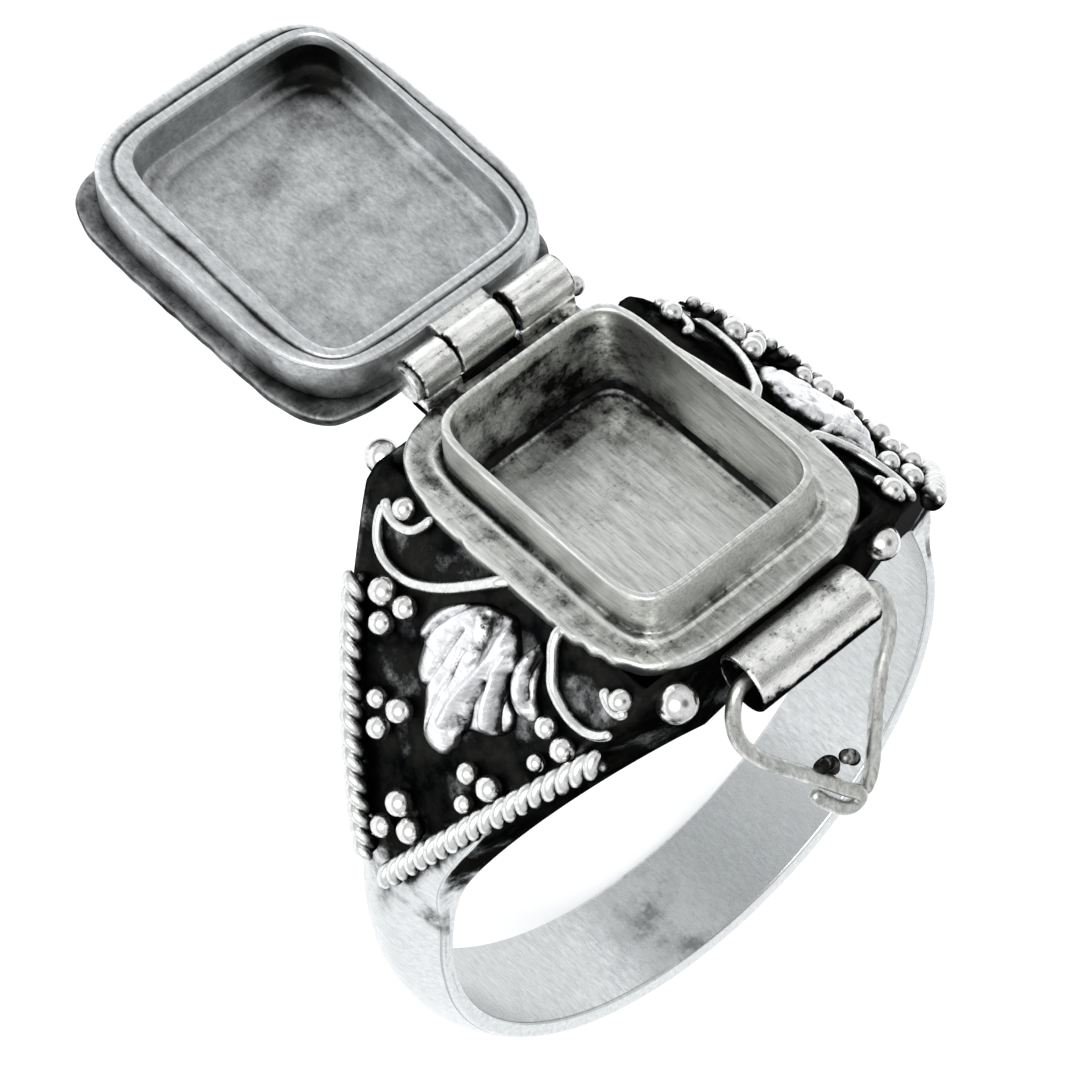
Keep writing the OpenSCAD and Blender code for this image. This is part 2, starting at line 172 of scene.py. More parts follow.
def cushionRing(turn, halfX, halfY, square):
    # superellipse in polar form: distance = (|cos/halfX|^n + |sin/halfY|^n)^(-1/n)
    c, s = np.cos(turn), np.sin(turn)
    far = (np.abs(c / halfX) ** square + np.abs(s / halfY) ** square) ** (-1 / square)
    return far * c, far * s


def cushionRows(turn, share, offset, outer, inner):
    # cushions whose half sizes and squareness go from the outer to the inner ones with the
    # share, outer * (1 - share) + inner * share, set outward by the offset
    halfX, halfY, square = [a * (1 - share) + b * share for a, b in zip(outer, inner)]
    return cushionRing(turn, halfX + offset, halfY + offset, square)


def held(value):
    # kept between 0 and 1
    return np.clip(value, 0, 1)


def bell(value, middle, width):
    # 1 at the middle, falling off as exp(-((value - middle) / width)^2)
    return np.exp(-((value - middle) / width) ** 2)


def fade(value, edge, width):
    # from 1 well below the edge to 0 well above it: 1 / (1 + exp((value - edge) / width))
    return 1 / (1 + np.exp((value - edge) / width))


def softProfile(table):
    # the rows drawn out to 150 and smoothed, so that no corner is a knife edge; as columns
    t, k = np.linspace(0, 1, 150), np.linspace(0, 1, len(table))
    rows = np.stack([np.interp(t, k, table[:, n]) for n in range(4)], 1)
    rows = np.pad(rows, ((2, 2), (0, 0)), mode="edge")
    kernel = np.array([1, 2, 3, 2, 1]) / 9
    return [np.convolve(rows[:, n], kernel, mode="valid")[:, None] for n in range(4)]


# shares of the way out from a floor's middle, for closing the floor
shrinking = np.linspace(1, 0, 24)[1:, None, None] ** 0.9
outlineColumns = 440


def colour(text):
    # sRGB hex to linear
    parts = np.array([int(text[i:i + 2], 16) for i in (1, 3, 5)]) / 255
    linear = np.where(parts <= 0.04045, parts / 12.92, ((parts + 0.055) / 1.055) ** 2.4)
    return (*linear.tolist(), 1.0)


def addNode(tree, kind, settings=None, inputs=None):
    # one node with its settings and its inputs; an input is a value or another node's socket
    node = tree.nodes.new(kind)
    for key, value in (settings or {}).items():
        setattr(node, key, value)
    for key, value in (inputs or {}).items():
        if isinstance(value, bpy.types.NodeSocket):
            tree.links.new(value, node.inputs[key])
        else:
            node.inputs[key].default_value = value
    return node


def makeSilver(name, look):
    # Sterling silver, sawn, filed and soldered, then blackened with liver of sulphur and rubbed
    # back: bright where a cloth reaches, nearly black in the hollows, brownish between.
    material = bpy.data.materials.new(name)
    material.use_nodes = True
    tree = material.node_tree
    tree.nodes.clear()
    place = addNode(tree, "ShaderNodeTexCoord").outputs["Object"]
    dark = addNode(tree, "ShaderNodeAttribute", {"attribute_name": "tarnish"}).outputs["Fac"]
    # blotches of oxide about half a millimetre across
    blotch = addNode(tree, "ShaderNodeTexNoise", None, {
        "Vector": place, "Scale": 1000 / look["blotchMm"], "Detail": 6.0, "Roughness": 0.68})
    # grain: real pits and grit are a few hundredths of a millimetre, too fine to show, so
    # they are drawn at about a tenth
    grit = addNode(tree, "ShaderNodeTexNoise", None, {
        "Vector": place, "Scale": 1000 / look["gritMm"], "Detail": 3.0, "Roughness": 0.7})
    # hairlines: noise pulled out long in one direction, drawn coarser in the same way
    comb = addNode(tree, "ShaderNodeMapping", {"vector_type": "TEXTURE"}, {
        "Vector": place, "Rotation": look["combTurn"], "Scale": look["combScale"]})
    hair = addNode(tree, "ShaderNodeTexNoise", None, {
        "Vector": comb.outputs["Vector"], "Scale": 1000 / look["hairMm"], "Detail": 4.0,
        "Roughness": 0.75})
    # the oxide is patchiest where it is half rubbed away: dark * (1 - dark)
    left = addNode(tree, "ShaderNodeMath", {"operation": "SUBTRACT"}, {0: 1.0, 1: dark})
    half = addNode(tree, "ShaderNodeMath", {"operation": "MULTIPLY"}, {
        0: dark, 1: left.outputs[0]})
    share = addNode(tree, "ShaderNodeMath", {"operation": "MULTIPLY_ADD"}, {
        0: half.outputs[0], 1: 4 * look["patchy"], 2: look["even"]})
    spread = addNode(tree, "ShaderNodeMapRange", None, {
        "Value": blotch.outputs["Fac"], "From Min": 0.34, "From Max": 0.66, "To Min": -0.5,
        "To Max": 0.5})
    worn = addNode(tree, "ShaderNodeMath", {"operation": "MULTIPLY_ADD"}, {
        0: share.outputs[0], 1: spread.outputs[0], 2: dark})
    pits = addNode(tree, "ShaderNodeMapRange", None, {
        "Value": grit.outputs["Fac"], "From Min": 0.55, "From Max": 0.72, "To Min": 0.0,
        "To Max": look["pits"]})
    pitted = addNode(tree, "ShaderNodeMath", {"operation": "ADD", "use_clamp": True}, {
        0: worn.outputs[0], 1: pits.outputs[0]})
    amount = addNode(tree, "ShaderNodeMapRange", {"interpolation_type": "SMOOTHSTEP"}, {
        "Value": pitted.outputs[0], "From Min": 0.04, "From Max": 0.92})
    warm = addNode(tree, "ShaderNodeValToRGB", None, {"Fac": blotch.outputs["Fac"]})
    for element, position, tone in zip(warm.color_ramp.elements, (0.42, 0.7),
                                       ("oxide", "oxideWarm")):
        element.position, element.color = position, colour(look[tone])
    fine = addNode(tree, "ShaderNodeMapRange", None, {
        "Value": hair.outputs["Fac"], "From Min": 0.34, "From Max": 0.66})
    clean = addNode(tree, "ShaderNodeMix", {"data_type": "RGBA"}, {
        "Factor": fine.outputs[0], "A": colour(look["bright"]), "B": colour(look["dull"])})
    tint = addNode(tree, "ShaderNodeMix", {"data_type": "RGBA"}, {
        "Factor": amount.outputs[0], "A": clean.outputs["Result"],
        "B": warm.outputs["Color"]})
    # bare silver goes white at a glancing angle, the oxide stays dark
    edge = addNode(tree, "ShaderNodeMix", {"data_type": "RGBA"}, {
        "Factor": amount.outputs[0], "A": colour("#FFFFFF"), "B": colour("#202020")})
    rubbed = addNode(tree, "ShaderNodeMapRange", None, {
        "Value": hair.outputs["Fac"], "From Min": 0.3, "From Max": 0.7,
        "To Min": look["rough"] * 0.75, "To Max": look["rough"] * 1.3})
    rough = addNode(tree, "ShaderNodeMix", {"data_type": "FLOAT"}, {
        "Factor": amount.outputs[0], "A": rubbed.outputs[0], "B": look["oxideRough"]})
    relief = addNode(tree, "ShaderNodeMix", {"data_type": "FLOAT"}, {
        "Factor": look["hairShare"], "A": grit.outputs["Fac"], "B": hair.outputs["Fac"]})
    bump = addNode(tree, "ShaderNodeBump", None, {
        "Strength": look["bump"], "Distance": look["bumpMm"] / 1000,
        "Height": relief.outputs[0]})
    shader = addNode(tree, "ShaderNodeBsdfPrincipled", None, {
        "Base Color": tint.outputs["Result"], "Metallic": 1.0,
        "Specular Tint": edge.outputs["Result"],
        "Roughness": rough.outputs[0], "Normal": bump.outputs["Normal"]})
    addNode(tree, "ShaderNodeOutputMaterial", None, {"Surface": shader.outputs["BSDF"]})
    return material


leanTurn = (math.radians(-resting["leanDeg"]), 0.0, 0.0)
plainLook = {
    "bright": "#E4E5E4", "dull": "#C4C6C5", "oxide": "#0B0C0D", "oxideWarm": "#2A2B28",
    "rough": 0.24, "oxideRough": 0.5, "patchy": 0.8, "even": 0.1, "pits": 0.15,
    "blotchMm": 0.9, "gritMm": 0.12, "hairMm": 0.12, "hairShare": 0.6,
    "combTurn": leanTurn, "combScale": (1.0, 12.0, 1.0), "bump": 0.3, "bumpMm": 0.03}

# shank and shoulders, buffed on a wheel: a soft, even mirror
polishedSilver = makeSilver("polishedSilver", plainLook | {
    "bright": "#D6D8D8", "dull": "#C0C2C2", "rough": 0.25, "bump": 0.14, "pits": 0.12,
    "even": 0.14, "blotchMm": 1.2, "combScale": (1.0, 4.0, 1.0)})
# grains melted to balls: bright tops, pitted and dark where they meet
grainSilver = makeSilver("grainSilver", plainLook | {
    "bright": "#E8E8E6", "dull": "#D0D0CE", "rough": 0.2, "bump": 0.12, "even": 0.25,
    "blotchMm": 0.5, "pits": 0.3, "combScale": (1.0, 1.0, 1.0)})
# box and flange, filed and rubbed with emery: satin, scratched and pitted
boxSilver = makeSilver("filedBoxSilver", plainLook | {
    "bright": "#EDEEEA", "dull": "#B4B6B2", "rough": 0.33, "patchy": 0.5, "even": 0.3,
    "pits": 0.34, "bump": 0.5, "gritMm": 0.14, "hairShare": 0.4, "blotchMm": 1.0})
# knuckles and clasp tube, rolled from sheet and handled most: the whitest, in patches
jointSilver = makeSilver("rolledJointSilver", plainLook | {
    "bright": "#FFFFFC", "dull": "#E4E5E1", "rough": 0.26, "patchy": 0.7, "even": 0.52,
    "pits": 0.45, "bump": 0.6, "blotchMm": 0.6, "combScale": (3.0, 1.0, 1.0)})
# lid, raised from sheet: smooth, with broad cloudy smoke
lidSilver = makeSilver("lidSilver", plainLook | {
    "bright": "#E6E8E8", "dull": "#B9BBBC", "rough": 0.34, "patchy": 0.3, "pits": 0.12,
    "bump": 0.2, "gritMm": 0.15, "hairShare": 0.3, "blotchMm": 1.8,
    "combScale": (1.0, 3.0, 1.0)})
# ropes, scrolls and pin, drawn wire: smooth, bright on top and dark between
wireSilver = makeSilver("drawnWireSilver", plainLook | {
    "bright": "#E6E7E5", "dull": "#C8C9C7", "rough": 0.26, "even": 0.2, "bump": 0.15,
    "blotchMm": 0.5, "combScale": (6.0, 1.0, 1.0)})
# latch, hard spring wire: greyer, with dull worn patches
latchSilver = makeSilver("springWireSilver", plainLook | {
    "bright": "#D2D3CF", "dull": "#A2A39F", "rough": 0.34, "even": 0.3, "pits": 0.4,
    "blotchMm": 0.6, "bump": 0.35, "combScale": (1.0, 1.0, 8.0)})
# leaves, chased with punches: white crests over black cuts
castSilver = makeSilver("chasedLeafSilver", plainLook | {
    "bright": "#FAFAFA", "dull": "#CFCFD2", "rough": 0.3, "patchy": 0.6, "even": 0.25,
    "pits": 0.35, "bump": 0.5, "gritMm": 0.13, "hairMm": 0.1, "blotchMm": 0.7,
    "combScale": (3.0, 9.0, 1.0)})

# band, named as the ring's maker would: the hole, the shank, the shoulders' long curve, the head
ring = {
    "holeR": 9.5, "headH": 12.79, "headHalf": 5.63, "shankHalf": 1.86, "shankSide": 1.05,
    "shankBottom": 1.4, "edge": 0.35, "shoulderR": 20.5, "taperFrom": 18.0, "taperTo": 65.0,
    "flangeX": 4.65, "flangeY": 5.73, "flangeT": 0.49, "backCut": 0.5,
    # degrees from the top: the half round shank, the black panel's end and the side walls' end,
    # where the ropes meet, the smoke below them, the narrowed back, and the painted dark
    # reflection in the hole
    "roundFrom": 72.0, "panelEnd": 69.0, "wallEnd": 63.0, "ropesMeet": 71.0, "smokeAt": 73.0,
    "backCutAt": -24.0, "darkReflectionAt": -187.0,
    # half width of the panel where the ropes meet, and what it gains with each degree
    "panelHalf": 0.45, "panelGain": 0.104,
    # under the box: half sizes of the sunk part, and the slope's width
    "sunkX": 3.5, "sunkY": 4.65, "sunkSlope": 0.7,
    # how far the hand-worked surface strays
    "uneven": 0.018}

crownR = ring["holeR"] + ring["shankSide"]
crownDrop = ring["shankBottom"] - ring["shankSide"]
startX = ring["flangeX"] + 0.1
startZ = ring["headH"] - ring["flangeT"] - 0.06
startFar = math.hypot(startX, startZ + crownDrop)
arcOff = ring["shoulderR"] - crownR
arcShare = (ring["shoulderR"] ** 2 - startFar ** 2 - arcOff ** 2) / (2 * arcOff * startFar)
meetAngle = math.atan2(startX, startZ + crownDrop) + math.acos(arcShare)
arcX = arcOff * math.sin(meetAngle)
arcZ = -ring["headH"] - crownDrop - arcOff * math.cos(meetAngle)
startAngle = math.atan2(startZ - ring["headH"] - arcZ, -startX - arcX)
taperMid = math.radians((ring["taperFrom"] + ring["taperTo"]) / 2)
taperHalf = math.radians((ring["taperTo"] - ring["taperFrom"]) / 2)
taperS = (ring["holeR"] + 1.3) * math.sin(taperHalf)


def shoulderPoint(down, along, lift):
    # left shoulder: down its long curve, along the finger, lifted off it
    turn = startAngle + down / ring["shoulderR"]
    far = ring["shoulderR"] + lift
    return grid(arcX + far * np.cos(turn), along, arcZ + far * np.sin(turn))


def shoulderUp(down):
    # straight out of the shoulder: cosine and sine of the same turn
    turn = startAngle + down / ring["shoulderR"]
    return grid(np.cos(turn), 0, np.sin(turn))


def outerRadius(beta):
    # distance from the hole's middle to the outside, at an angle from the top
    b = np.abs(beta)
    # shank: circle of crownR about a point crownDrop below
    shank = -crownDrop * np.cos(b) + np.sqrt(crownR ** 2 - (crownDrop * np.sin(b)) ** 2)
    # shoulder: the long curve, seen from the hole's middle
    toward = -arcX * np.sin(b) + (arcZ + ring["headH"]) * np.cos(b)
    away = arcX ** 2 + (arcZ + ring["headH"]) ** 2
    long = toward + np.sqrt(np.maximum(toward ** 2 - away + ring["shoulderR"] ** 2, 0))
    flat = (ring["headH"] - 0.3) / np.maximum(np.cos(b), 0.05)
    return np.where(b < meetAngle, np.minimum(long, flat), shank)


def halfWidth(beta, far):
    # the shoulders' sides are flat cuts; below them the shank keeps one width
    cut = far * np.sin(np.abs(beta) - taperMid)
    slope = (ring["headHalf"] - ring["shankHalf"]) / (2 * taperS)
    wide = (ring["headHalf"] + ring["shankHalf"]) / 2 - slope * cut
    soft = 0.16
    wide = ring["shankHalf"] + soft * np.logaddexp(0, (wide - ring["shankHalf"]) / soft)
    return np.minimum(wide, ring["headHalf"])


def makeBand():
    # x = -far * sin(beta), z = far * cos(beta) - headH round the hole; the section, as shares:
    # across (-1 to 1) and out (0 to 1), with far = holeR + out * thickness
    corner = np.linspace(0, np.pi / 2, 7)
    inner = np.linspace(-0.93, 0.93, 21)
    side = np.linspace(0.12, 0.86, 12)
    top = np.linspace(0.95, -0.95, 61)
    low, high, flank = 0.95 + 0.05 * np.sin(corner), 0.95 + 0.05 * np.cos(corner), np.ones(12)
    across = np.concatenate([inner, low, flank, high, top, -low, -flank, -high])
    out = np.concatenate([0 * inner, 0.1 * (1 - np.cos(corner)), side,
                          0.88 + 0.12 * np.sin(corner), np.ones(61),
                          0.88 + 0.12 * np.cos(corner), side[::-1],
                          0.1 * (1 - np.sin(corner))])
    # angles from the top, closer together on the shoulders than on the shank
    beta = np.radians(np.concatenate([
        np.linspace(start, end, count, endpoint=False)
        for start, end, count in ((0, 90, 230), (90, 270, 220), (270, 360, 230))]))
    beta = np.where(beta > np.pi, beta - 2 * np.pi, beta)[:, None]
    across, out = across[None, :], out[None, :]
    crown = outerRadius(beta)
    # the outside is flat across the shoulders and half round on the shank
    degrees = np.degrees(np.abs(beta))
    onShank = fade(degrees, ring["roundFrom"], -3.0)
    thick = crown - ring["holeR"]
    sag = onShank * (ring["shankSide"] - ring["edge"]) * np.abs(across) ** 2.1
    edgeSag = onShank * (ring["shankSide"] - ring["edge"])
    far = ring["holeR"] + out * (thick - np.where(out > 0.87, sag, edgeSag))
    wide = halfWidth(beta, far)
    # the right shoulder's back is narrower near the head
    nearHead = bell(np.degrees(beta), ring["backCutAt"], 16)
    wide = wide - ring["backCut"] * nearHead * held(across * 3)
    points = grid(-far * np.sin(beta), across * wide, -ring["headH"] + far * np.cos(beta))
    # under the box the metal drops below the floor, inside the flange's outline
    reach = np.maximum(np.abs(points[..., 0]) - ring["sunkX"],
                       np.abs(points[..., 1]) - ring["sunkY"]) / ring["sunkSlope"]
    below = box["collarH"] - box["depth"] - 0.25
    sunk = below + (points[..., 2] - below) * held(reach)
    points[..., 2] = np.where((points[..., 2] > below) & (out > 0.5), sunk, points[..., 2])
    # a hand-worked surface is never quite true
    uneven = ring["uneven"] * (ripple(points, 3.1, 1.0) - 1) * (out > 0.5)
    points[..., 0] -= uneven * np.sin(beta)
    points[..., 2] += uneven * np.cos(beta)
    # oxide: the panel between the ropes and the side walls of the shoulders
    panel = (out > 0.97) * fade(degrees, ring["panelEnd"], 1.2)
    ropeLine = ring["panelHalf"] + (ring["ropesMeet"] - degrees) * ring["panelGain"]
    panel = panel * fade(np.abs(across * wide), ropeLine + 0.25, 0.12)
    wall = (np.abs(across) > 0.97) * (out > 0.06) * fade(degrees, ring["wallEnd"], 3.0)
    wall = wall * (1 - 0.16 * held(ripple(points, 2.9, 2.0)))
    # the cloth has worn grey places in the panel, and left smoke below the ropes' meeting
    wear = np.clip(0.07 + 0.3 * ripple(points, 2.7, 5.0), 0, 0.26)
    smoke = 0.42 * bell(degrees, ring["smokeAt"], 8) * (out > 0.5)
    smoke = smoke * held(0.5 + 0.9 * ripple(points, 2.3, 9.0))
    # inside the hole: a painted dark reflection low on the right
    fromReflection = (np.degrees(beta) - ring["darkReflectionAt"] + 180) % 360 - 180
    paintedReflection = (out < 0.05) * bell(fromReflection, 0, 9) * (0.22 + 0.04 * ripple(points, 2.2, 3.0))
    tarnish = np.maximum(np.maximum(panel - wear, 0.97 * wall), np.maximum(smoke, paintedReflection))
    return gridPart(points, tarnish, True)


# box on the head: the collar's half sizes and height, its wall and depth
box = {
    "collarX": 3.39, "collarY": 4.53, "collarH": 1.36, "wall": 0.33, "depth": 3.1,
    "flangeSquare": 4.4, "collarSquare": 7.4, "backCut": 0.5,
    # half sizes that the edge's waves are measured against
    "wavesX": 4.65, "wavesY": 5.7,
    # where the right back is cut: from this y, fully after so much more, and over this x
    "cutFromY": -2.6, "cutOverY": 5.5, "cutOverX": 3,
    # the sooty place under the hinge: half width and where it begins
    "sootHalf": 3.3, "sootFromY": 5.15,
    # degrees round the box: where foot and floor edge are clean, where the flange is drawn
    # lighter, and where smoke stays
    "footClean": -40, "flangeLighterAt": -30, "floorClean": 220, "smokeAt": 72,
    # nicks in the flange's edge: angle, width, depth
    "nicks": [[215, 2.2, 0.09], [221, 1.8, 0.07], [228, 2.6, 0.06], [205, 2.0, 0.05],
              [300, 3.0, 0.05], [160, 2.0, 0.04]]}


def makeBox():
    # a cushion outline carried up, over and down a profile; the columns are the share of the
    # way from the flange's outline to the collar's, an outward offset, height and tarnish
    floorZ = box["collarH"] - box["depth"]
    w = box["wall"]
    profile = np.array([
        [1, -3.0, floorZ - 0.2, 1.0], [1, -0.1, floorZ - 0.2, 1.0], [1, -0.1, -0.6, 1.0],
        [0, -0.60, -0.49, 1.0], [0, -0.30, -0.50, 1.0], [0, -0.09, -0.485, 0.9],
        [0, -0.03, -0.46, 0.55], [0, 0.0, -0.40, 0.2], [0, 0.0, -0.27, 0.05],
        [0, -0.01, -0.13, 0.0], [0, -0.04, -0.05, 0.0], [0, -0.10, -0.01, 0.0],
        [0, -0.16, 0.0, 0.06], [0.1, -0.16, -0.01, 0.24], [0.25, -0.1, -0.02, 0.3],
        [0.5, 0.0, -0.04, 0.42], [0.72, 0.08, -0.05, 0.4], [0.84, 0.16, -0.05, 0.3],
        [0.9, 0.17, -0.02, 0.12], [0.95, 0.2, 0.0, 0.1], [1, 0.19, -0.04, 0.5],
        [1, 0.13, -0.09, 0.9], [1, 0.06, -0.10, 1.0], [1, 0.02, -0.07, 0.95],
        [1, 0.0, 0.0, 0.5], [1, 0.0, 0.12, 0.14], [1, 0.01, 0.3, 0.04],
        [1, -0.01, 0.6, 0.05], [1, -0.02, 0.95, 0.03], [1, -0.03, 1.22, 0.0],
        [1, -0.04, 1.31, 0.0], [1, -0.07, 1.35, 0.0], [1, -0.12, 1.36, 0.0],
        [1, -0.18, 1.36, 0.0], [1, -0.22, 1.345, 0.02], [1, -0.25, 1.29, 0.12],
        [1, -0.28, 1.15, 0.2], [1, -w + 0.02, 0.6, 0.16], [1, -w, 0.0, 0.14],
        [1, -w, -0.7, 0.16], [1, -w, floorZ + 0.35, 0.2], [1, -w - 0.03, floorZ + 0.12, 0.4],
        [1, -w - 0.06, floorZ, 0.95], [1, -w - 0.1, floorZ - 0.02, 0.95],
        [1, -w - 0.15, floorZ + 0.01, 0.6], [1, -w - 0.2, floorZ + 0.05, 0.15],
        [1, -w - 0.28, floorZ + 0.04, 0.3], [1, -w - 0.34, floorZ - 0.01, 0.6],
        [1, -w - 0.4, floorZ, 0.2], [1, -w - 0.7, floorZ, 0.08], [1, -w - 1.2, floorZ, 0.05]])
    share, offset, height, dark = softProfile(profile)
    turn = fullTurn(outlineColumns)
    x, y = cushionRows(turn, share, offset,
                       (ring["flangeX"], ring["flangeY"], box["flangeSquare"]),
                       (box["collarX"], box["collarY"], box["collarSquare"]))
    # the flange's edge is filed by hand: shallow waves and a few nicks
    waves = 0.02 * np.sin(7 * turn + 0.6) + 0.014 * np.sin(17 * turn + 2.0)
    for angle, width, depth in box["nicks"]:
        waves = waves - depth * bell(np.degrees(turn), angle, width)
    onEdge = held(1 - share * 6) * held(1 + offset * 4)
    x = x * (1 + waves * onEdge / box["wavesX"])
    y = y * (1 + waves * onEdge / box["wavesY"])
    # the flange is cut closer to the box at its right back, by cut^2 * (3 - 2 * cut)
    cut = held((y - box["cutFromY"]) / box["cutOverY"]) * held(x / box["cutOverX"])
    cut = cut * (1 - share)
    x = x - box["backCut"] * cut * cut * (3 - 2 * cut)
    points = grid(x, y, height)
    rippled = 0.012 + 0.02 * bell(offset, -w - 0.28, 0.1) * (share > 0.9)
    points[..., 2] += rippled * ripple(points, 0.9, 4.0) * (height < 0.3)
    # the groove at the box's foot is black on the left and nearly rubbed clean on the right
    foot = (share > 0.8) * (height < 0.1) * (height > -0.2) * (offset > -0.1)
    clean = 0.5 + 0.5 * np.cos(turn - math.radians(box["footClean"]))
    dark = dark * (1 - 0.75 * foot * clean)
    # the floor's edge is black only along the right and back walls
    inner = (share > 0.9) * (offset < -w - 0.01)
    clean = 0.5 + 0.5 * np.cos(turn - math.radians(box["floorClean"]))
    dark = dark * (1 - 0.8 * inner * clean)
    # and so is the flange where it runs under the hinge
    back = held((y - box["sootFromY"]) / 0.25) * held((box["sootHalf"] - np.abs(x)) / 0.4)
    dark = np.maximum(dark, 0.6 * back * (height < 0.02) * (height > -0.6))
    # the flange's right side is drawn lighter
    clean = held(np.cos(turn - math.radians(box["flangeLighterAt"])))
    dark = dark * (1 - 0.6 * (share < 0.9) * clean)
    # and the right wall inside the box
    wallside = (share > 0.9) * (offset < -0.25) * (height > floorZ + 0.3)
    dark = dark * (1 - 0.7 * wallside * held(np.cos(turn + 0.2)))
    # smoke in the box's far corner, away from the cloth
    far = bell(turn, math.radians(box["smokeAt"]), 0.72)
    dark = dark + 0.5 * far * (height < 1.2) * (share > 0.9) * (offset < -w + 0.04)
    # the floor closes on its middle
    last = points[-1]
    floor = last[None] * shrinking
    floor[..., 2] = floorZ
    floor[..., 2] += 0.01 * ripple(floor, 2.3, 2.0)
    floor[-1] = floor[-1].mean(0)
    points[0] = points[0].mean(0)
    points = np.concatenate([points, floor])
    # the floor is clean in its middle and smoky towards the back corner
    smoke = np.clip(0.06 + 0.04 * (floor[..., 0] + floor[..., 1]), 0.0, 0.4)
    tarnish = np.concatenate([np.broadcast_to(dark, x.shape), smoke])
    return gridPart(points, tarnish)


# hinge: its line, where the knuckles begin and end, the pin and its two ends
hinge = {
    "y": 6.255, "z": 0.75, "r": 0.68, "from": -2.38, "lidFrom": -1.02, "lidTo": 0.9,
    "to": 3.11, "gap": 0.06, "rightGap": 0.2, "pinR": 0.3, "headR": 0.59, "headT": 0.28,
    # the ball peened on the pin's end: radius, and place from the line's right end
    "ballR": 0.34, "ballFrom": [0.2, -0.25, -0.45],
    # the solder behind the middle knuckle: low and high corner
    "solder": [[-0.95, 5.5, -0.47], [1.04, 6.1, -0.14]]}


def aroundHinge(x, r, turn):
    # points about the hinge's line: y = hinge + r*cos, z = hinge + r*sin
    return grid(x, hinge["y"] + r * np.cos(turn), hinge["z"] + r * np.sin(turn))


def discPart(start, width, radius):
    # flat rivet head: a short cylinder along x with a rounded edge, closed on its middle
    x = np.array([0, 0, 0.02, 0.06, width - 0.06, width - 0.02, width, width])[:, None] + start
    r = np.array([0.001, radius - 0.06, radius - 0.02, radius, radius, radius - 0.02,
                  radius - 0.06, 0.001])[:, None]
    dark = np.array([0.22, 0.2, 0.5, 0.12, 0.7, 0.95, 1.0, 1.0])[:, None]
    return gridPart(aroundHinge(x, r, fullTurn(64)), dark)


def barrel(start, end, radius, dark):
    # rolled knuckle: a tube along x with rounded ends and a fine seam where the sheet meets
    along, shape = roundedEnds(end - start, 0.1, 24)
    r = radius - 0.1 + shape
    r[0] = r[-1] = 0.02
    r[1] = r[-2] = radius - 0.14
    turn = fullTurn(96)
    seam = 0.05 * bell(turn, 1.9, 0.07) + 0.012 * np.sin(3 * turn + start)
    points = aroundHinge((start + along)[:, None], r[:, None] * (1 - seam), turn)
    points[..., 1] += 0.01 * ripple(points, 0.9, start)
    ends = np.minimum(along, along[::-1])[:, None]
    tarnish = dark + 0.8 * bell(ends, 0, 0.07) + 8 * np.maximum(seam - 0.015, 0)
    return gridPart(points, tarnish)


def block(low, high, dark, bend=0.08):
    # small solder block with rounded sides: a box whose section is a superellipse
    turn = fullTurn(40)
    low, high = np.array(low, float), np.array(high, float)
    mid, half = (low + high) / 2, (high - low) / 2
    along = np.array([0, 0, bend * 0.3, bend, 2 * half[0] - bend, 2 * half[0] - bend * 0.3,
                      2 * half[0], 2 * half[0]])[:, None]
    inset = np.array([half.min(), bend, bend * 0.3, 0, 0, bend * 0.3, bend, half.min()])[:, None]
    y, z = cushionRing(turn, np.maximum(half[1] - inset, 1e-3), np.maximum(half[2] - inset, 1e-3),
                       8.0)
    points = grid(low[0] + along, mid[1] + y, mid[2] + z)
    return gridPart(points, dark)


def swing(part):
    # the lid is worked out closed, then opened about the hinge
    hub = np.array([0, hinge["y"], hinge["z"]])
    return turnedAboutX(part[0] - hub, -lid["open"]) + hub, part[1], part[2]


# lid, closed: outer half sizes, height, top plate and recess
lid = {
    "open": 174.0, "x": 4.65, "y": 5.75, "h": 1.9, "rimZ": 0.05, "plateT": 0.4, "over": 0.2,
    "shift": 0.2, "plateShift": 0.5, "askew": 0.04, "recessX": 3.72, "recessY": 4.86,
    "square": 4.4, "recessSquare": 7.4, "fromKnuckle": 0.06, "recessFrom": 1.6, "recessRise": 0.4,
    "sootFloor": (3.0, -4.9), "sootWall": (3.2, -5.0)}
lidMidY = hinge["y"] - hinge["r"] - lid["fromKnuckle"] - lid["y"]
recessMidY = hinge["y"] - lid["recessFrom"] - lid["recessY"]


def nearCorner(points, x, y):
    # 1 over the corner, falling off as exp(-distance^2 / 2.6)
    return np.exp(-((points[..., 0] - x) ** 2 + (points[..., 1] - y) ** 2) / 2.6)


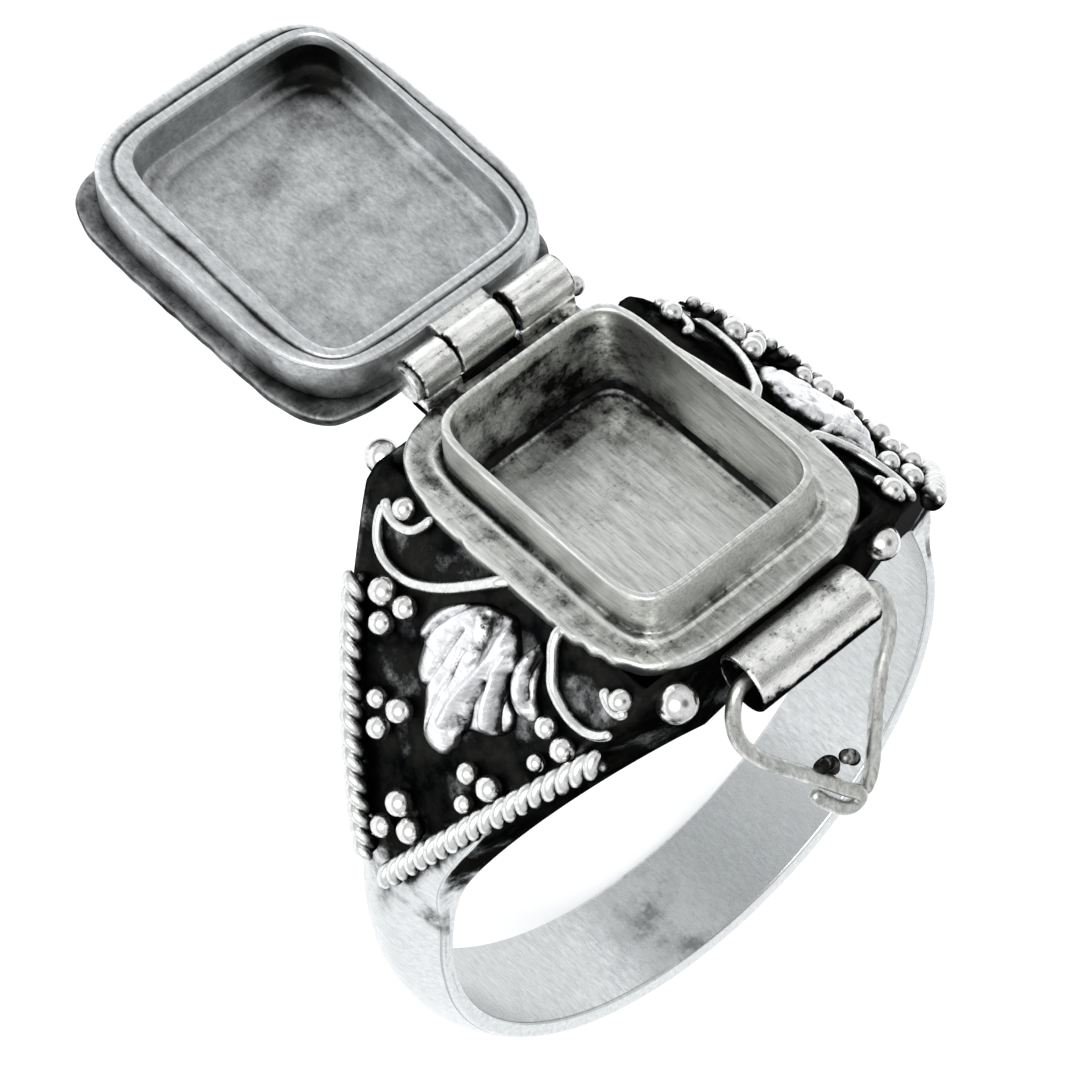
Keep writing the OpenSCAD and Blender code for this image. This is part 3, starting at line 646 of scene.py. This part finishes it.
def makeLidShell():
    # profile from the side band round the rim and down into the recess; the columns are the
    # share from the outer outline to the recess's, an outward offset, height and tarnish
    top = lid["rimZ"] + lid["h"]
    deep = lid["rimZ"] + lid["h"] - lid["recessRise"]
    profile = np.array([
        [0, -2.5, top - 0.2, 1.0], [0, -0.5, top - 0.2, 1.0], [0, -0.06, top - 0.36, 0.8],
        [0, -0.01, top - 0.44, 0.5],
        [0, 0.0, top - 0.6, 0.5], [0, 0.0, top - 1.0, 0.38], [0, -0.02, 0.42, 0.32],
        [0, -0.05, 0.22, 0.3], [0, -0.03, 0.17, 0.12], [0, -0.06, 0.10, 0.0],
        [0, -0.13, 0.06, 0.1], [0, -0.22, 0.05, 0.24], [0.28, -0.1, 0.055, 0.24],
        [0.40, -0.07, 0.08, 0.5], [0.48, -0.05, 0.12, 0.85], [0.56, -0.02, 0.1, 0.6],
        [0.64, 0.0, 0.06, 0.2], [0.72, 0.02, 0.05, 0.08], [0.86, 0.02, 0.05, 0.06],
        [0.95, 0.02, 0.065, 0.06], [1, 0.0, 0.12, 0.1], [1, -0.02, 0.3, 0.34],
        [1, -0.03, 0.7, 0.22], [1, -0.04, deep - 0.42, 0.2], [1, -0.08, deep - 0.2, 0.24],
        [1, -0.26, deep - 0.06, 0.52], [1, -0.4, deep - 0.03, 0.3], [1, -0.55, deep - 0.01, 0.2],
        [1, -0.68, deep, 0.46], [1, -0.8, deep, 0.34], [1, -1.3, deep, 0.3]])
    share, offset, height, dark = softProfile(profile)
    turn = fullTurn(outlineColumns)
    x, y = cushionRows(turn, share, offset, (lid["x"], lid["y"], lid["square"]),
                       (lid["recessX"], lid["recessY"], lid["recessSquare"]))
    midY = lidMidY * (1 - share) + recessMidY * share
    wobble = 1 + 0.004 * np.sin(5 * turn + 1.0) + 0.0025 * np.sin(13 * turn)
    x = np.where(share < 0.9, x * wobble, x)
    # the outer rim is a little askew: its far end lies to the left
    askew = lid["askew"] * (1 - share) * (hinge["y"] - y - midY)
    points = grid(x - lid["shift"] - askew, y + midY, height)
    points[..., 2] += 0.012 * ripple(points, 2.1, 7.0)
    last = points[-1]
    mid = last.mean(0)
    floor = mid + (last[None] - mid) * shrinking
    uneven = ripple(floor, 4.3, 2.0) - ripple(mid, 4.3, 2.0)
    floor[..., 2] += 0.02 * uneven * (1 - shrinking[..., 0])
    floor[-1] = floor[-1].mean(0)
    points[0] = points[0].mean(0)
    points = np.concatenate([points, floor])
    # soot in the recess's far corner, and cloudy grey over the floor
    cloud = 0.32 + 0.07 * ripple(floor, 6.2, 3.0) + nearCorner(floor, *lid["sootFloor"])
    tarnish = np.concatenate([np.broadcast_to(dark, x.shape), cloud])
    wall = len(height)
    reach = nearCorner(points[:wall], *lid["sootWall"]) * (height > 0.5) * (share > 0.9)
    tarnish[:wall] += 0.85 * reach
    return gridPart(points, tarnish)


def makeLidPlate():
    # top plate: a rounded rectangle that stands out past the side, with a rough sawn edge;
    # a rounded rectangle in polar form is a high superellipse
    top = lid["rimZ"] + lid["h"]
    low = top - lid["plateT"]
    halfX, halfY = lid["x"] + lid["over"] * 0.6, lid["y"] + lid["over"]
    rows = np.array([[-1.4, low + 0.15, 1.0], [-1.0, low + 0.12, 0.9], [-0.5, low, 0.7],
                     [-0.12, low, 0.62], [-0.03, low + 0.03, 0.5],
                     [0, low + 0.1, 0.7], [0, top - 0.1, 0.6], [-0.03, top - 0.03, 0.4],
                     [-0.12, top, 0.3], [-0.5, top, 0.2], [-1.5, top, 0.18], [-3.0, top, 0.18]])
    turn = fullTurn(480)
    x, y = cushionRing(turn, halfX + rows[:, :1], halfY + rows[:, :1], 6.0)
    saw = 0.002 * np.sin(23 * turn + 1.0) + 0.0015 * np.sin(41 * turn)
    rough = 1 + saw * (rows[:, :1] > -0.4)
    askew = lid["askew"] * (hinge["y"] - y - lidMidY)
    points = grid(x * rough - lid["plateShift"] - askew, y * rough + lidMidY, rows[:, 1:2])
    # closes on its middle at both faces
    ends = np.broadcast_to(points[[0, -1]].mean(1, keepdims=True), (2, *points.shape[1:]))
    points = np.concatenate([ends[:1], points, ends[1:]])
    dark = np.concatenate([[1.0], rows[:, 2], [0.18]])[:, None]
    return gridPart(points, dark)


# clasp: the rolled tube under the flange and the wire in it
clasp = {"r": 0.91, "wall": 0.15, "y": 6.44, "z": 1.36, "from": -1.85, "to": 2.45,
         "wireR": 0.225, "outDeg": 16.0, "solder": [[-1.5, -5.86, -1.9], [2.1, -5.5, -0.95]]}


def makeTube():
    # rolled sheet: out along the outside, round the end and back along the bore
    long = clasp["to"] - clasp["from"]
    r0, r1 = clasp["r"], clasp["r"] - clasp["wall"]
    along = np.concatenate([np.linspace(0.05, long - 0.05, 30), [long - 0.015, long, long - 0.01],
                            np.linspace(long - 0.05, 0.05, 30), [0.01, 0.0, 0.015]])[:, None]
    r = np.concatenate([np.full(30, r0), [r0 - 0.02, (r0 + r1) / 2, r1 + 0.02],
                        np.full(30, r1), [r1 + 0.02, (r0 + r1) / 2, r0 - 0.02]])[:, None]
    turn = fullTurn(128)
    flats = 1 + 0.012 * np.sin(2 * turn + 0.4) + 0.006 * np.sin(5 * turn)
    points = grid(clasp["from"] + along, -clasp["y"] + r * flats * np.cos(turn),
                  -clasp["z"] + r * flats * np.sin(turn))
    inside = np.concatenate([np.zeros(31), [0.3, 0.9], np.ones(30), [0.9, 0.3, 0.0]])[:, None]
    ends = bell(np.minimum(along, long - along), 0, 0.25)
    # bright where it is handled, smoky by the flange, and a painted black shadow along its
    # underside
    degrees = np.degrees(turn)
    underShadow = fade(degrees, 176, -3.0) * fade(degrees, 290, 8.0)
    byFlange = 0.2 * bell(turn, math.radians(75), 0.5)
    tarnish = np.maximum(inside, 0.03 + 0.1 * ends + np.maximum(underShadow, byFlange))
    return gridPart(points, tarnish, True)


def loopPart(table, radius, count, dark):
    # wire of the latch: the table's columns are across, down from the tube, and out of the plane
    length = steps(smoothPath(table, 400)).sum()
    along, r = roundedEnds(length, radius, count)
    flat = smoothPath(table, along / length)
    path = grid(flat[:, 0], -flat[:, 2], -flat[:, 1])
    points, quads, tarnish = tubePart(path, np.array([[0.0, 1.0, 0.0]]), r, 20, dark)
    hub = np.array([0, clasp["y"], clasp["z"]])
    return turnedAboutX(points, -clasp["outDeg"]) - hub, quads, tarnish


# latch: one sprung wire in two halves that meet at the tip
latchLoop = {
    # columns: across, down from the tube, out towards the front
    "left": [[0.3, 0, 0], [-0.9, 0, 0], [-1.72, 0, 0], [-2.04, 0.1, 0], [-2.25, 0.38, 0],
             [-2.43, 0.85, 0], [-2.48, 1.46, 0], [-2.3, 2.15, 0], [-1.9, 2.88, 0],
             [-1.38, 3.59, 0], [-0.84, 4.29, 0], [-0.31, 5.02, 0.02], [0.2, 5.72, 0.05],
             [0.52, 6.12, 0.06], [0.6, 6.4, 0.03], [0.36, 6.52, 0.0], [0.05, 6.4, 0.0],
             [-0.3, 5.98, -0.03], [-0.6, 5.5, -0.08], [-0.72, 5.2, -0.2]],
    "right": [[0.3, 0, 0], [1.7, 0, 0], [2.4, 0, 0], [2.78, 0.12, 0], [3.02, 0.46, 0],
              [3.14, 0.87, 0], [3.18, 1.3, 0], [3.08, 1.75, 0], [2.78, 2.35, 0], [2.4, 2.95, 0],
              [2.02, 3.78, 0], [1.6, 4.9, 0], [1.38, 5.5, 0], [1.16, 6.0, -0.03],
              [0.92, 6.36, -0.1], [0.6, 6.5, -0.28]],
    # the two cut ends, twisted round behind
    "stubs": [[[0.12, 5.3, -0.3], [0.22, 4.95, -0.25], [-0.05, 4.6, -0.1], [-0.5, 4.5, 0.02]],
              [[0.95, 5.5, -0.3], [0.85, 5.15, -0.2], [0.6, 4.85, -0.05], [0.45, 4.68, 0.05]]]}

# ornament on the shoulders
ornament = {
    "ropeR": 0.37, "ropeLobe": 0.54, "ropeShade": {"left": 0.0, "right": 0.5},
    "scrollR": 0.18, "scrollBallR": 0.33, "cornerBallR": 0.58,
    "ropeFront": [[1.5, -5.6], [10.1, -0.16]],
    "ropeBack": {"left": [[2.35, 4.14], [9.9, 0.62]], "right": [[1.1, 4.2], [9.9, 0.62]]},
    # wires: down the shoulder, along the finger; the short ones curl round a ball
    "wires": [[[-0.65, -0.5], [-0.5, -0.35], [-0.12, 0.07], [0.43, 0.71], [0.87, 1.25],
               [1.26, 1.84], [1.56, 2.5], [1.64, 3.09], [1.57, 3.57], [1.35, 3.97],
               [1.03, 4.23], [0.65, 4.4], [0.3, 4.46]],
              [[0.14, 4.5], [0.37, 4.24], [0.5, 3.84], [0.46, 3.44], [0.28, 3.14],
               [-0.03, 2.93], [-0.3, 2.85]],
              [[-0.65, -2.33], [-0.5, -2.35], [-0.28, -2.4], [0.12, -2.51], [0.5, -2.75],
               [1.03, -3.15], [1.33, -3.86], [1.37, -4.5], [1.2, -5.0], [0.88, -5.38]],
              [[0.0, -4.5], [0.2, -4.66], [0.34, -4.95], [0.32, -5.25], [0.12, -5.45]]],
    # grains: down, along, radius; soldered in threes
    "grains": [[2.21, 3.03, 0.42], [2.16, 2.16, 0.36], [3.0, 2.65, 0.38], [4.98, 1.84, 0.32],
               [4.72, 0.93, 0.4], [5.71, 1.44, 0.36], [7.19, -0.11, 0.42], [8.43, 0.32, 0.36],
               [7.74, -0.73, 0.4], [4.74, -1.93, 0.33], [4.6, -2.79, 0.38], [5.64, -2.16, 0.3],
               [1.96, -3.59, 0.33], [2.12, -4.36, 0.36], [3.0, -3.76, 0.27]],
    "curlBalls": [[-0.02, 3.72], [-0.03, -5.14]],
    # balls under the flange's corners: x, y, z, share of the ball's radius
    "corners": {"left": [[-3.66, -5.93, -0.9, 1], [-4.0, 5.85, -0.8, 0.9]],
                "right": [[3.98, -5.72, -1.3, 0.88], [3.75, 5.5, -1.25, 0.9]]}}


def acrossX(parts, way):
    # the left shoulder's parts with x times 1, or times -1 for the right shoulder
    return [(points * np.array([way, 1, 1]), quads, tarnish) for points, quads, tarnish in parts]


def ropeParts(ends, twist, shade):
    # two strands wound round each other: strand = middle + r*(cos*side + sin*up)
    a, b = np.array(ends, float)
    length = np.linalg.norm(b - a)
    lobes = round(length / ornament["ropeLobe"])
    strandR = ornament["ropeR"] * 0.5
    along, r = roundedEnds(length, strandR, 14 * lobes)
    at = a + (b - a) * (along / length)[:, None]
    middle = shoulderPoint(at[:, 0], at[:, 1], ornament["ropeR"] * 0.92)
    up = shoulderUp(at[:, 0])
    side = unit(np.cross(up, unit(np.gradient(middle, axis=0))))
    parts = []
    for start in (0, np.pi):
        turn = np.pi * along / length * lobes + start
        strand = (np.sin(turn)[:, None] * up - twist * np.cos(turn)[:, None] * side) * strandR
        strand = middle + strand
        part = tubePart(strand, up, r * 1.04, 14)
        # bright on top, black where the strands meet and below
        rise = ((part[0] - middle[:, None]) * up[:, None]).sum(-1) / ornament["ropeR"]
        parts.append((part[0], part[1], held(0.78 + shade - 1.2 * rise)))
    return parts


def scrollPart(table):
    # half-round wire laid on the shoulder, thinning a little to its curled end
    length = steps(smoothPath(table, 300)).sum()
    along, r = roundedEnds(length, ornament["scrollR"], 90)
    at = smoothPath(table, along / length)
    # where the shoulder runs in under the flange the wire sinks with it
    lift = ornament["scrollR"] * 0.9 + 0.9 * np.minimum(at[:, 0] + 0.2, 0)
    path = shoulderPoint(at[:, 0], at[:, 1], lift)
    up = shoulderUp(at[:, 0])
    part = tubePart(path, up, r * (1 - 0.2 * along / length), 16)
    rise = ((part[0] - path[:, None]) * up[:, None]).sum(-1) / ornament["scrollR"]
    return part[0], part[1], held(0.5 - 0.9 * rise)


def ballPart(centre, radius, up):
    # sphere: a half circle of latitudes by a full circle of longitudes, poles closed
    lat = np.linspace(-np.pi / 2, np.pi / 2, 17)[:, None]
    lon = fullTurn(28)
    ball = grid(np.cos(lat) * np.cos(lon), np.cos(lat) * np.sin(lon), np.sin(lat))
    ball[0], ball[-1] = [0, 0, -1], [0, 0, 1]
    rise = (ball * up).sum(-1)
    points = np.asarray(centre, float) + radius * ball
    return gridPart(points, held(0.38 - 1.1 * rise))


def grainParts():
    # a ball for each row, seated on the shoulder at 0.85 of its radius
    table = np.array(ornament["grains"], float)
    centres = shoulderPoint(table[:, 0], table[:, 1], table[:, 2] * 0.85)
    ups = shoulderUp(table[:, 0])
    parts = [ballPart(c, r, u) for c, r, u in zip(centres, table[:, 2], ups)]
    # one ball in each curl of the scrolls
    for down, along in ornament["curlBalls"]:
        place = shoulderPoint(np.array(down), np.array(along), ornament["scrollBallR"] * 0.8)
        parts.append(ballPart(place, ornament["scrollBallR"], shoulderUp(np.array(down))))
    return parts


def cornerParts(table):
    # a ball for each row, at its own place
    return [ballPart(row[:3], ornament["cornerBallR"] * row[3], np.array([0, 0, 1.0]))
            for row in table]


leaf = {
    # outlines and middles: down the shoulder, along the finger
    "thick": 0.62, "lobeShare": 0.75, "sharp": {"left": 1.0, "right": 0.4},
    "middle": [2.2, -0.55],
    "edge": [[0.8, 0.47], [1.25, 1.02], [1.76, 1.39], [2.31, 1.54], [2.57, 1.46], [2.6, 1.25],
             [3.04, 1.15], [3.42, 1.05], [3.66, 0.77], [3.66, 0.55], [4.2, 0.33], [4.86, 0.05],
             [5.02, -0.09], [5.1, -0.44], [4.99, -0.86], [4.51, -1.09], [4.04, -1.14],
             [3.72, -1.45], [3.61, -1.68], [3.37, -2.17], [2.93, -2.5], [2.53, -2.45],
             [2.1, -1.92], [1.68, -1.76], [1.33, -1.85], [0.84, -1.62], [0.47, -1.3],
             [0.25, -1.02], [0.35, -0.55], [0.5, 0.0]],
    # crests and hollows chased in: height as a share of the thickness, width, line
    "chased": [
        [0.42, 0.17, [[0.27, -1.2], [0.86, -1.17], [1.49, -1.17], [2.17, -1.0], [2.68, -0.83],
                      [3.28, -0.69], [3.91, -0.68]]],
        [0.2, 0.45, [[0.7, 0.11], [1.31, 0.39], [1.99, 0.65], [2.66, 0.59], [3.25, 0.18],
                    [3.97, -0.29], [4.6, -0.6]]],
        [0.4, 0.16, [[1.15, -1.51], [1.58, -1.5], [2.16, -1.58], [2.65, -1.68], [3.2, -1.88]]],
        [-0.34, 0.08, [[0.6, 0.2], [1.22, 0.64], [1.82, 0.95], [2.35, 1.12], [2.6, 1.3]]],
        [-0.3, 0.22, [[0.7, -0.45], [1.2, -0.6], [1.8, -0.62]]],
        [-0.34, 0.13, [[2.24, -1.26], [2.83, -1.14], [3.34, -1.24], [4.0, -1.2]]],
        [-0.5, 0.13, [[1.59, -1.88], [2.03, -1.87], [2.51, -1.98], [3.1, -2.2]]],
        [-0.3, 0.14, [[3.6, -0.98], [3.9, -1.0]]],
        [-0.2, 0.07, [[3.62, 0.5], [2.9, 0.3], [2.0, 0.2], [1.4, 0.1]]],
        [-0.16, 0.07, [[4.5, -0.05], [3.6, -0.15], [2.7, -0.22], [1.9, -0.2]]]],
    "lobeMiddle": [1.5, -2.3],
    "lobeEdge": [[0.25, -2.1], [0.8, -1.84], [1.4, -1.78], [1.9, -1.98], [2.25, -2.3],
                 [2.36, -2.7], [2.2, -3.1], [1.9, -3.12], [1.62, -2.84], [1.2, -2.62],
                 [0.65, -2.45]],
    "lobeChased": [[0.35, 0.16, [[0.8, -2.1], [1.4, -2.1], [1.85, -2.35], [2.0, -2.8]]],
                   [-0.3, 0.1, [[0.6, -2.3], [1.3, -2.35], [1.7, -2.6]]]]}


def nearLine(flat, line, width):
    # 1 on the line through the rows, falling off as exp(-(distance/width)^2)
    gap = flat[..., None, :] - smoothPath(line, 90)
    return np.exp(-(gap ** 2).sum(-1).min(-1) / width ** 2)


def chasedPart(middle, edge, chased, thick, shade):
    # a low cushion from its middle to its outline, thick * sqrt(1 - far^7) high, with the
    # chased lines added; the same grid comes back underneath, flat on the shoulder
    middle = np.array(middle, float)
    rim = smoothPath(edge + edge[:1], 221)[:-1]
    far = np.linspace(0, 1, 52)[:, None]
    flat = middle + (rim[None] - middle) * far[..., None]
    relief = 0.62 + 0.05 * (1 - far ** 2)
    relief = relief + sum(h * nearLine(flat, line, w) for h, w, line in chased)
    grain = np.concatenate([flat, relief[..., None]], -1)
    relief = relief + 0.04 * ripple(grain, 1.3, 3.0) + 0.01 * ripple(grain, 0.4, 1.0)
    rise = thick * np.clip(relief, 0.12, 1.4) * np.sqrt(held(1 - far ** 7))
    top = shoulderPoint(flat[..., 0], flat[..., 1], rise)
    bottom = shoulderPoint(flat[..., 0], flat[..., 1], -0.03)
    dark = np.clip(1.42 - 2.1 * relief, 0, 0.95) + np.clip((far - 0.93) * 12, 0, 0.85)
    dark = dark + np.clip(0.55 - 0.4 * flat[..., 0], 0, 0.5)
    points = np.concatenate([top, bottom[::-1]])
    tarnish = np.concatenate([dark + shade, np.ones(dark.shape)])
    return gridPart(points, tarnish)


# camera, lamps, room and floor
view = {
    "place": (-35.6905, 38.6115, 98.3261), "turnDeg": (-8.00553, -28.79968, -30.83909),
    "lensMm": 119.539, "aim": (0.0, 0.0, 0.01), "floorHalf": 0.6, "spot": (0.25, -0.04, 0.967),
    # name, place in metres, size, power in watts
    "lamps": [("softboxLeft", (-0.22, 0.10, 0.26), 0.32, 0.8),
              ("softboxRight", (0.26, 0.12, 0.22), 0.26, 0.45),
              ("softboxFront", (0.02, -0.26, 0.24), 0.3, 0.5)],
    # the room's tone: sine of the height above the horizon, colour
    "room": [(0.0, "#C4C6C8"), (0.12, "#DDDFE1"), (0.3, "#F6F7F8"), (0.55, "#FFFFFF"),
             (1.0, "#F4F6F8")]}


def makeStage():
    # camera, pale room, three lamps and a paper floor
    scene = bpy.context.scene
    camera = bpy.data.cameras.new("camera")
    camera.lens = view["lensMm"]
    camera.sensor_width = 36.0
    camera.clip_start = 0.005
    holder = addObject("camera", camera)
    holder.location = [v / 1000 for v in view["place"]]
    holder.rotation_euler = [math.radians(v) for v in view["turnDeg"]]
    scene.camera = holder
    world = bpy.data.worlds.new("studio")
    world.use_nodes = True
    scene.world = world
    tree = world.node_tree
    tree.nodes.clear()
    # pale room: white panels at middle height, light grey at the horizon
    ray = addNode(tree, "ShaderNodeTexCoord").outputs["Generated"]
    up = addNode(tree, "ShaderNodeSeparateXYZ", None, {0: ray})
    openings = addNode(tree, "ShaderNodeTexNoise", None, {
        "Vector": ray, "Scale": 2.1, "Detail": 1.0, "Roughness": 0.4})
    height = addNode(tree, "ShaderNodeMath", {"operation": "MULTIPLY_ADD"}, {
        0: openings.outputs["Fac"], 1: 0.5, 2: -0.25})
    mixed = addNode(tree, "ShaderNodeMath", {"operation": "ADD"}, {
        0: up.outputs["Z"], 1: height.outputs[0]})
    ramp = addNode(tree, "ShaderNodeValToRGB", None, {"Fac": mixed.outputs[0]})
    while len(ramp.color_ramp.elements) < len(view["room"]):
        ramp.color_ramp.elements.new(0.5)
    for element, (position, text) in zip(ramp.color_ramp.elements, view["room"]):
        element.position, element.color = position, colour(text)
    # the dark camera side: a soft spot nearly straight overhead
    toSpot = addNode(tree, "ShaderNodeVectorMath", {"operation": "DOT_PRODUCT"}, {
        0: ray, 1: view["spot"]})
    spot = addNode(tree, "ShaderNodeMapRange", {"interpolation_type": "SMOOTHSTEP"}, {
        "Value": toSpot.outputs["Value"], "From Min": 0.9, "From Max": 0.985, "To Min": 0.95,
        "To Max": 0.2})
    glow = addNode(tree, "ShaderNodeBackground", None, {
        "Color": ramp.outputs["Color"], "Strength": spot.outputs[0]})
    addNode(tree, "ShaderNodeOutputWorld", None, {"Surface": glow.outputs[0]})
    for name, place, size, power in view["lamps"]:
        light = bpy.data.lights.new(name, "AREA")
        light.shape, light.size, light.energy = "DISK", size, power
        holder = addObject(name, light)
        holder.location = place
        away = np.array(place) - np.array(view["aim"])
        flat = math.hypot(away[0], away[1])
        holder.rotation_euler = (math.atan2(flat, away[2]), 0.0,
                                 math.atan2(away[1], away[0]) + math.pi / 2)
        # the metal mirrors the room, not the lamps, apart from the one at the left
        holder.visible_glossy = name == "softboxLeft"
    floor = bpy.data.meshes.new("floor")
    far = view["floorHalf"]
    floor.from_pydata([(-far, -far, 0), (far, -far, 0), (far, far, 0), (-far, far, 0)], [],
                      [(0, 1, 2, 3)])
    paper = bpy.data.materials.new("palePaper")
    paper.use_nodes = True
    # a light table: most of its white comes from below, so shadows stay faint
    for key, value in (("Base Color", colour("#BFC0C2")), ("Roughness", 0.8),
                       ("Specular IOR Level", 0.0), ("Emission Color", colour("#FFFFFF")),
                       ("Emission Strength", 0.52)):
        paper.node_tree.nodes["Principled BSDF"].inputs[key].default_value = value
    floor.materials.append(paper)
    ground = addObject("floor", floor)
    scene.view_settings.view_transform = "Standard"


makeStage()
print("stage ready")

makeMesh("bandRing", [makeBand()], "ring", polishedSilver, ["band"])
makeMesh("boxOnHead", [makeBox()], "ring", boxSilver, ["band"])

outerKnuckles = ((hinge["from"], hinge["lidFrom"] - hinge["gap"]),
                 (hinge["lidTo"] + hinge["rightGap"], hinge["to"]))
makeMesh("outerKnuckles", [block([a, 4.9, -0.49], [b, hinge["y"] + 0.2, -0.04], 0.5)
                           for a, b in outerKnuckles]
         + [block([a, hinge["y"] - 0.62, -0.49], [b, hinge["y"] + 0.25, 0.4], 0.35)
            for a, b in outerKnuckles]
         + [barrel(a, b, hinge["r"], 0.0) for a, b in outerKnuckles]
         + [block(*hinge["solder"], 1.0)],
         "ring", jointSilver, ["band"])
makeMesh("claspTube", [makeTube(), block(*clasp["solder"], 0.9)], "ring", jointSilver,
         ["band"])

ballAt = np.array([hinge["to"], hinge["y"], hinge["z"]]) + hinge["ballFrom"]
makeMesh("hingePin", [discPart(hinge["from"] - 0.24, hinge["headT"], hinge["headR"]),
                      discPart(hinge["from"] - 0.2, hinge["to"] - hinge["from"] + 0.35,
                               hinge["pinR"]),
                      ballPart(ballAt, hinge["ballR"], np.array([0.3, 0, 0.95]))],
         "ring", wireSilver, ["hinge_pin"])

for side, way in (("left", 1), ("right", -1)):
    # the right shoulder's back rope is drawn darker
    ropes = (ropeParts(ornament["ropeFront"], way, 0.0)
             + ropeParts(ornament["ropeBack"][side], way, ornament["ropeShade"][side]))
    makeMesh("rope_" + side + "_twist", acrossX(ropes, way), "ring", wireSilver,
             ["rope_" + side])
    scrolls = acrossX([scrollPart(wire) for wire in ornament["wires"]], way)
    makeMesh("scrolls_" + side + "_wire", scrolls, "ring", wireSilver,
             ["scrolls_" + side])
    grains = acrossX(grainParts(), way) + cornerParts(ornament["corners"][side])
    makeMesh("grains_" + side + "_balls", grains, "ring", grainSilver,
             ["grains_" + side])
    # the right leaf is rubbed smoother than the left
    chased = [[high * leaf["sharp"][side], width, line] for high, width, line in leaf["chased"]]
    lobes = acrossX([chasedPart(leaf["middle"], leaf["edge"], chased, leaf["thick"], 0),
                     chasedPart(leaf["lobeMiddle"], leaf["lobeEdge"], leaf["lobeChased"],
                                leaf["thick"] * leaf["lobeShare"], 0.18)], way)
    makeMesh("leaf_" + side + "_chased", lobes, "ring", castSilver, ["leaf_" + side])

makeMesh("lidShell", [swing(makeLidShell()), swing(makeLidPlate())], "lid", lidSilver,
         ["lid"])
makeMesh("middleKnuckle", [swing(barrel(hinge["lidFrom"], hinge["lidTo"], hinge["r"], 0.0)),
                           swing(block([hinge["lidFrom"], hinge["y"] - 1.2, 0.17],
                                       [hinge["lidTo"], hinge["y"], 0.85], 0.3))],
         "lid", jointSilver, ["lid"])

makeMesh("latchWire",
         [loopPart(latchLoop[half], clasp["wireR"], 150, 0.08) for half in ("left", "right")]
         + [loopPart(stub, clasp["wireR"] * 0.95, 24, 0.75) for stub in latchLoop["stubs"]],
         "latch", latchSilver, ["latch"])
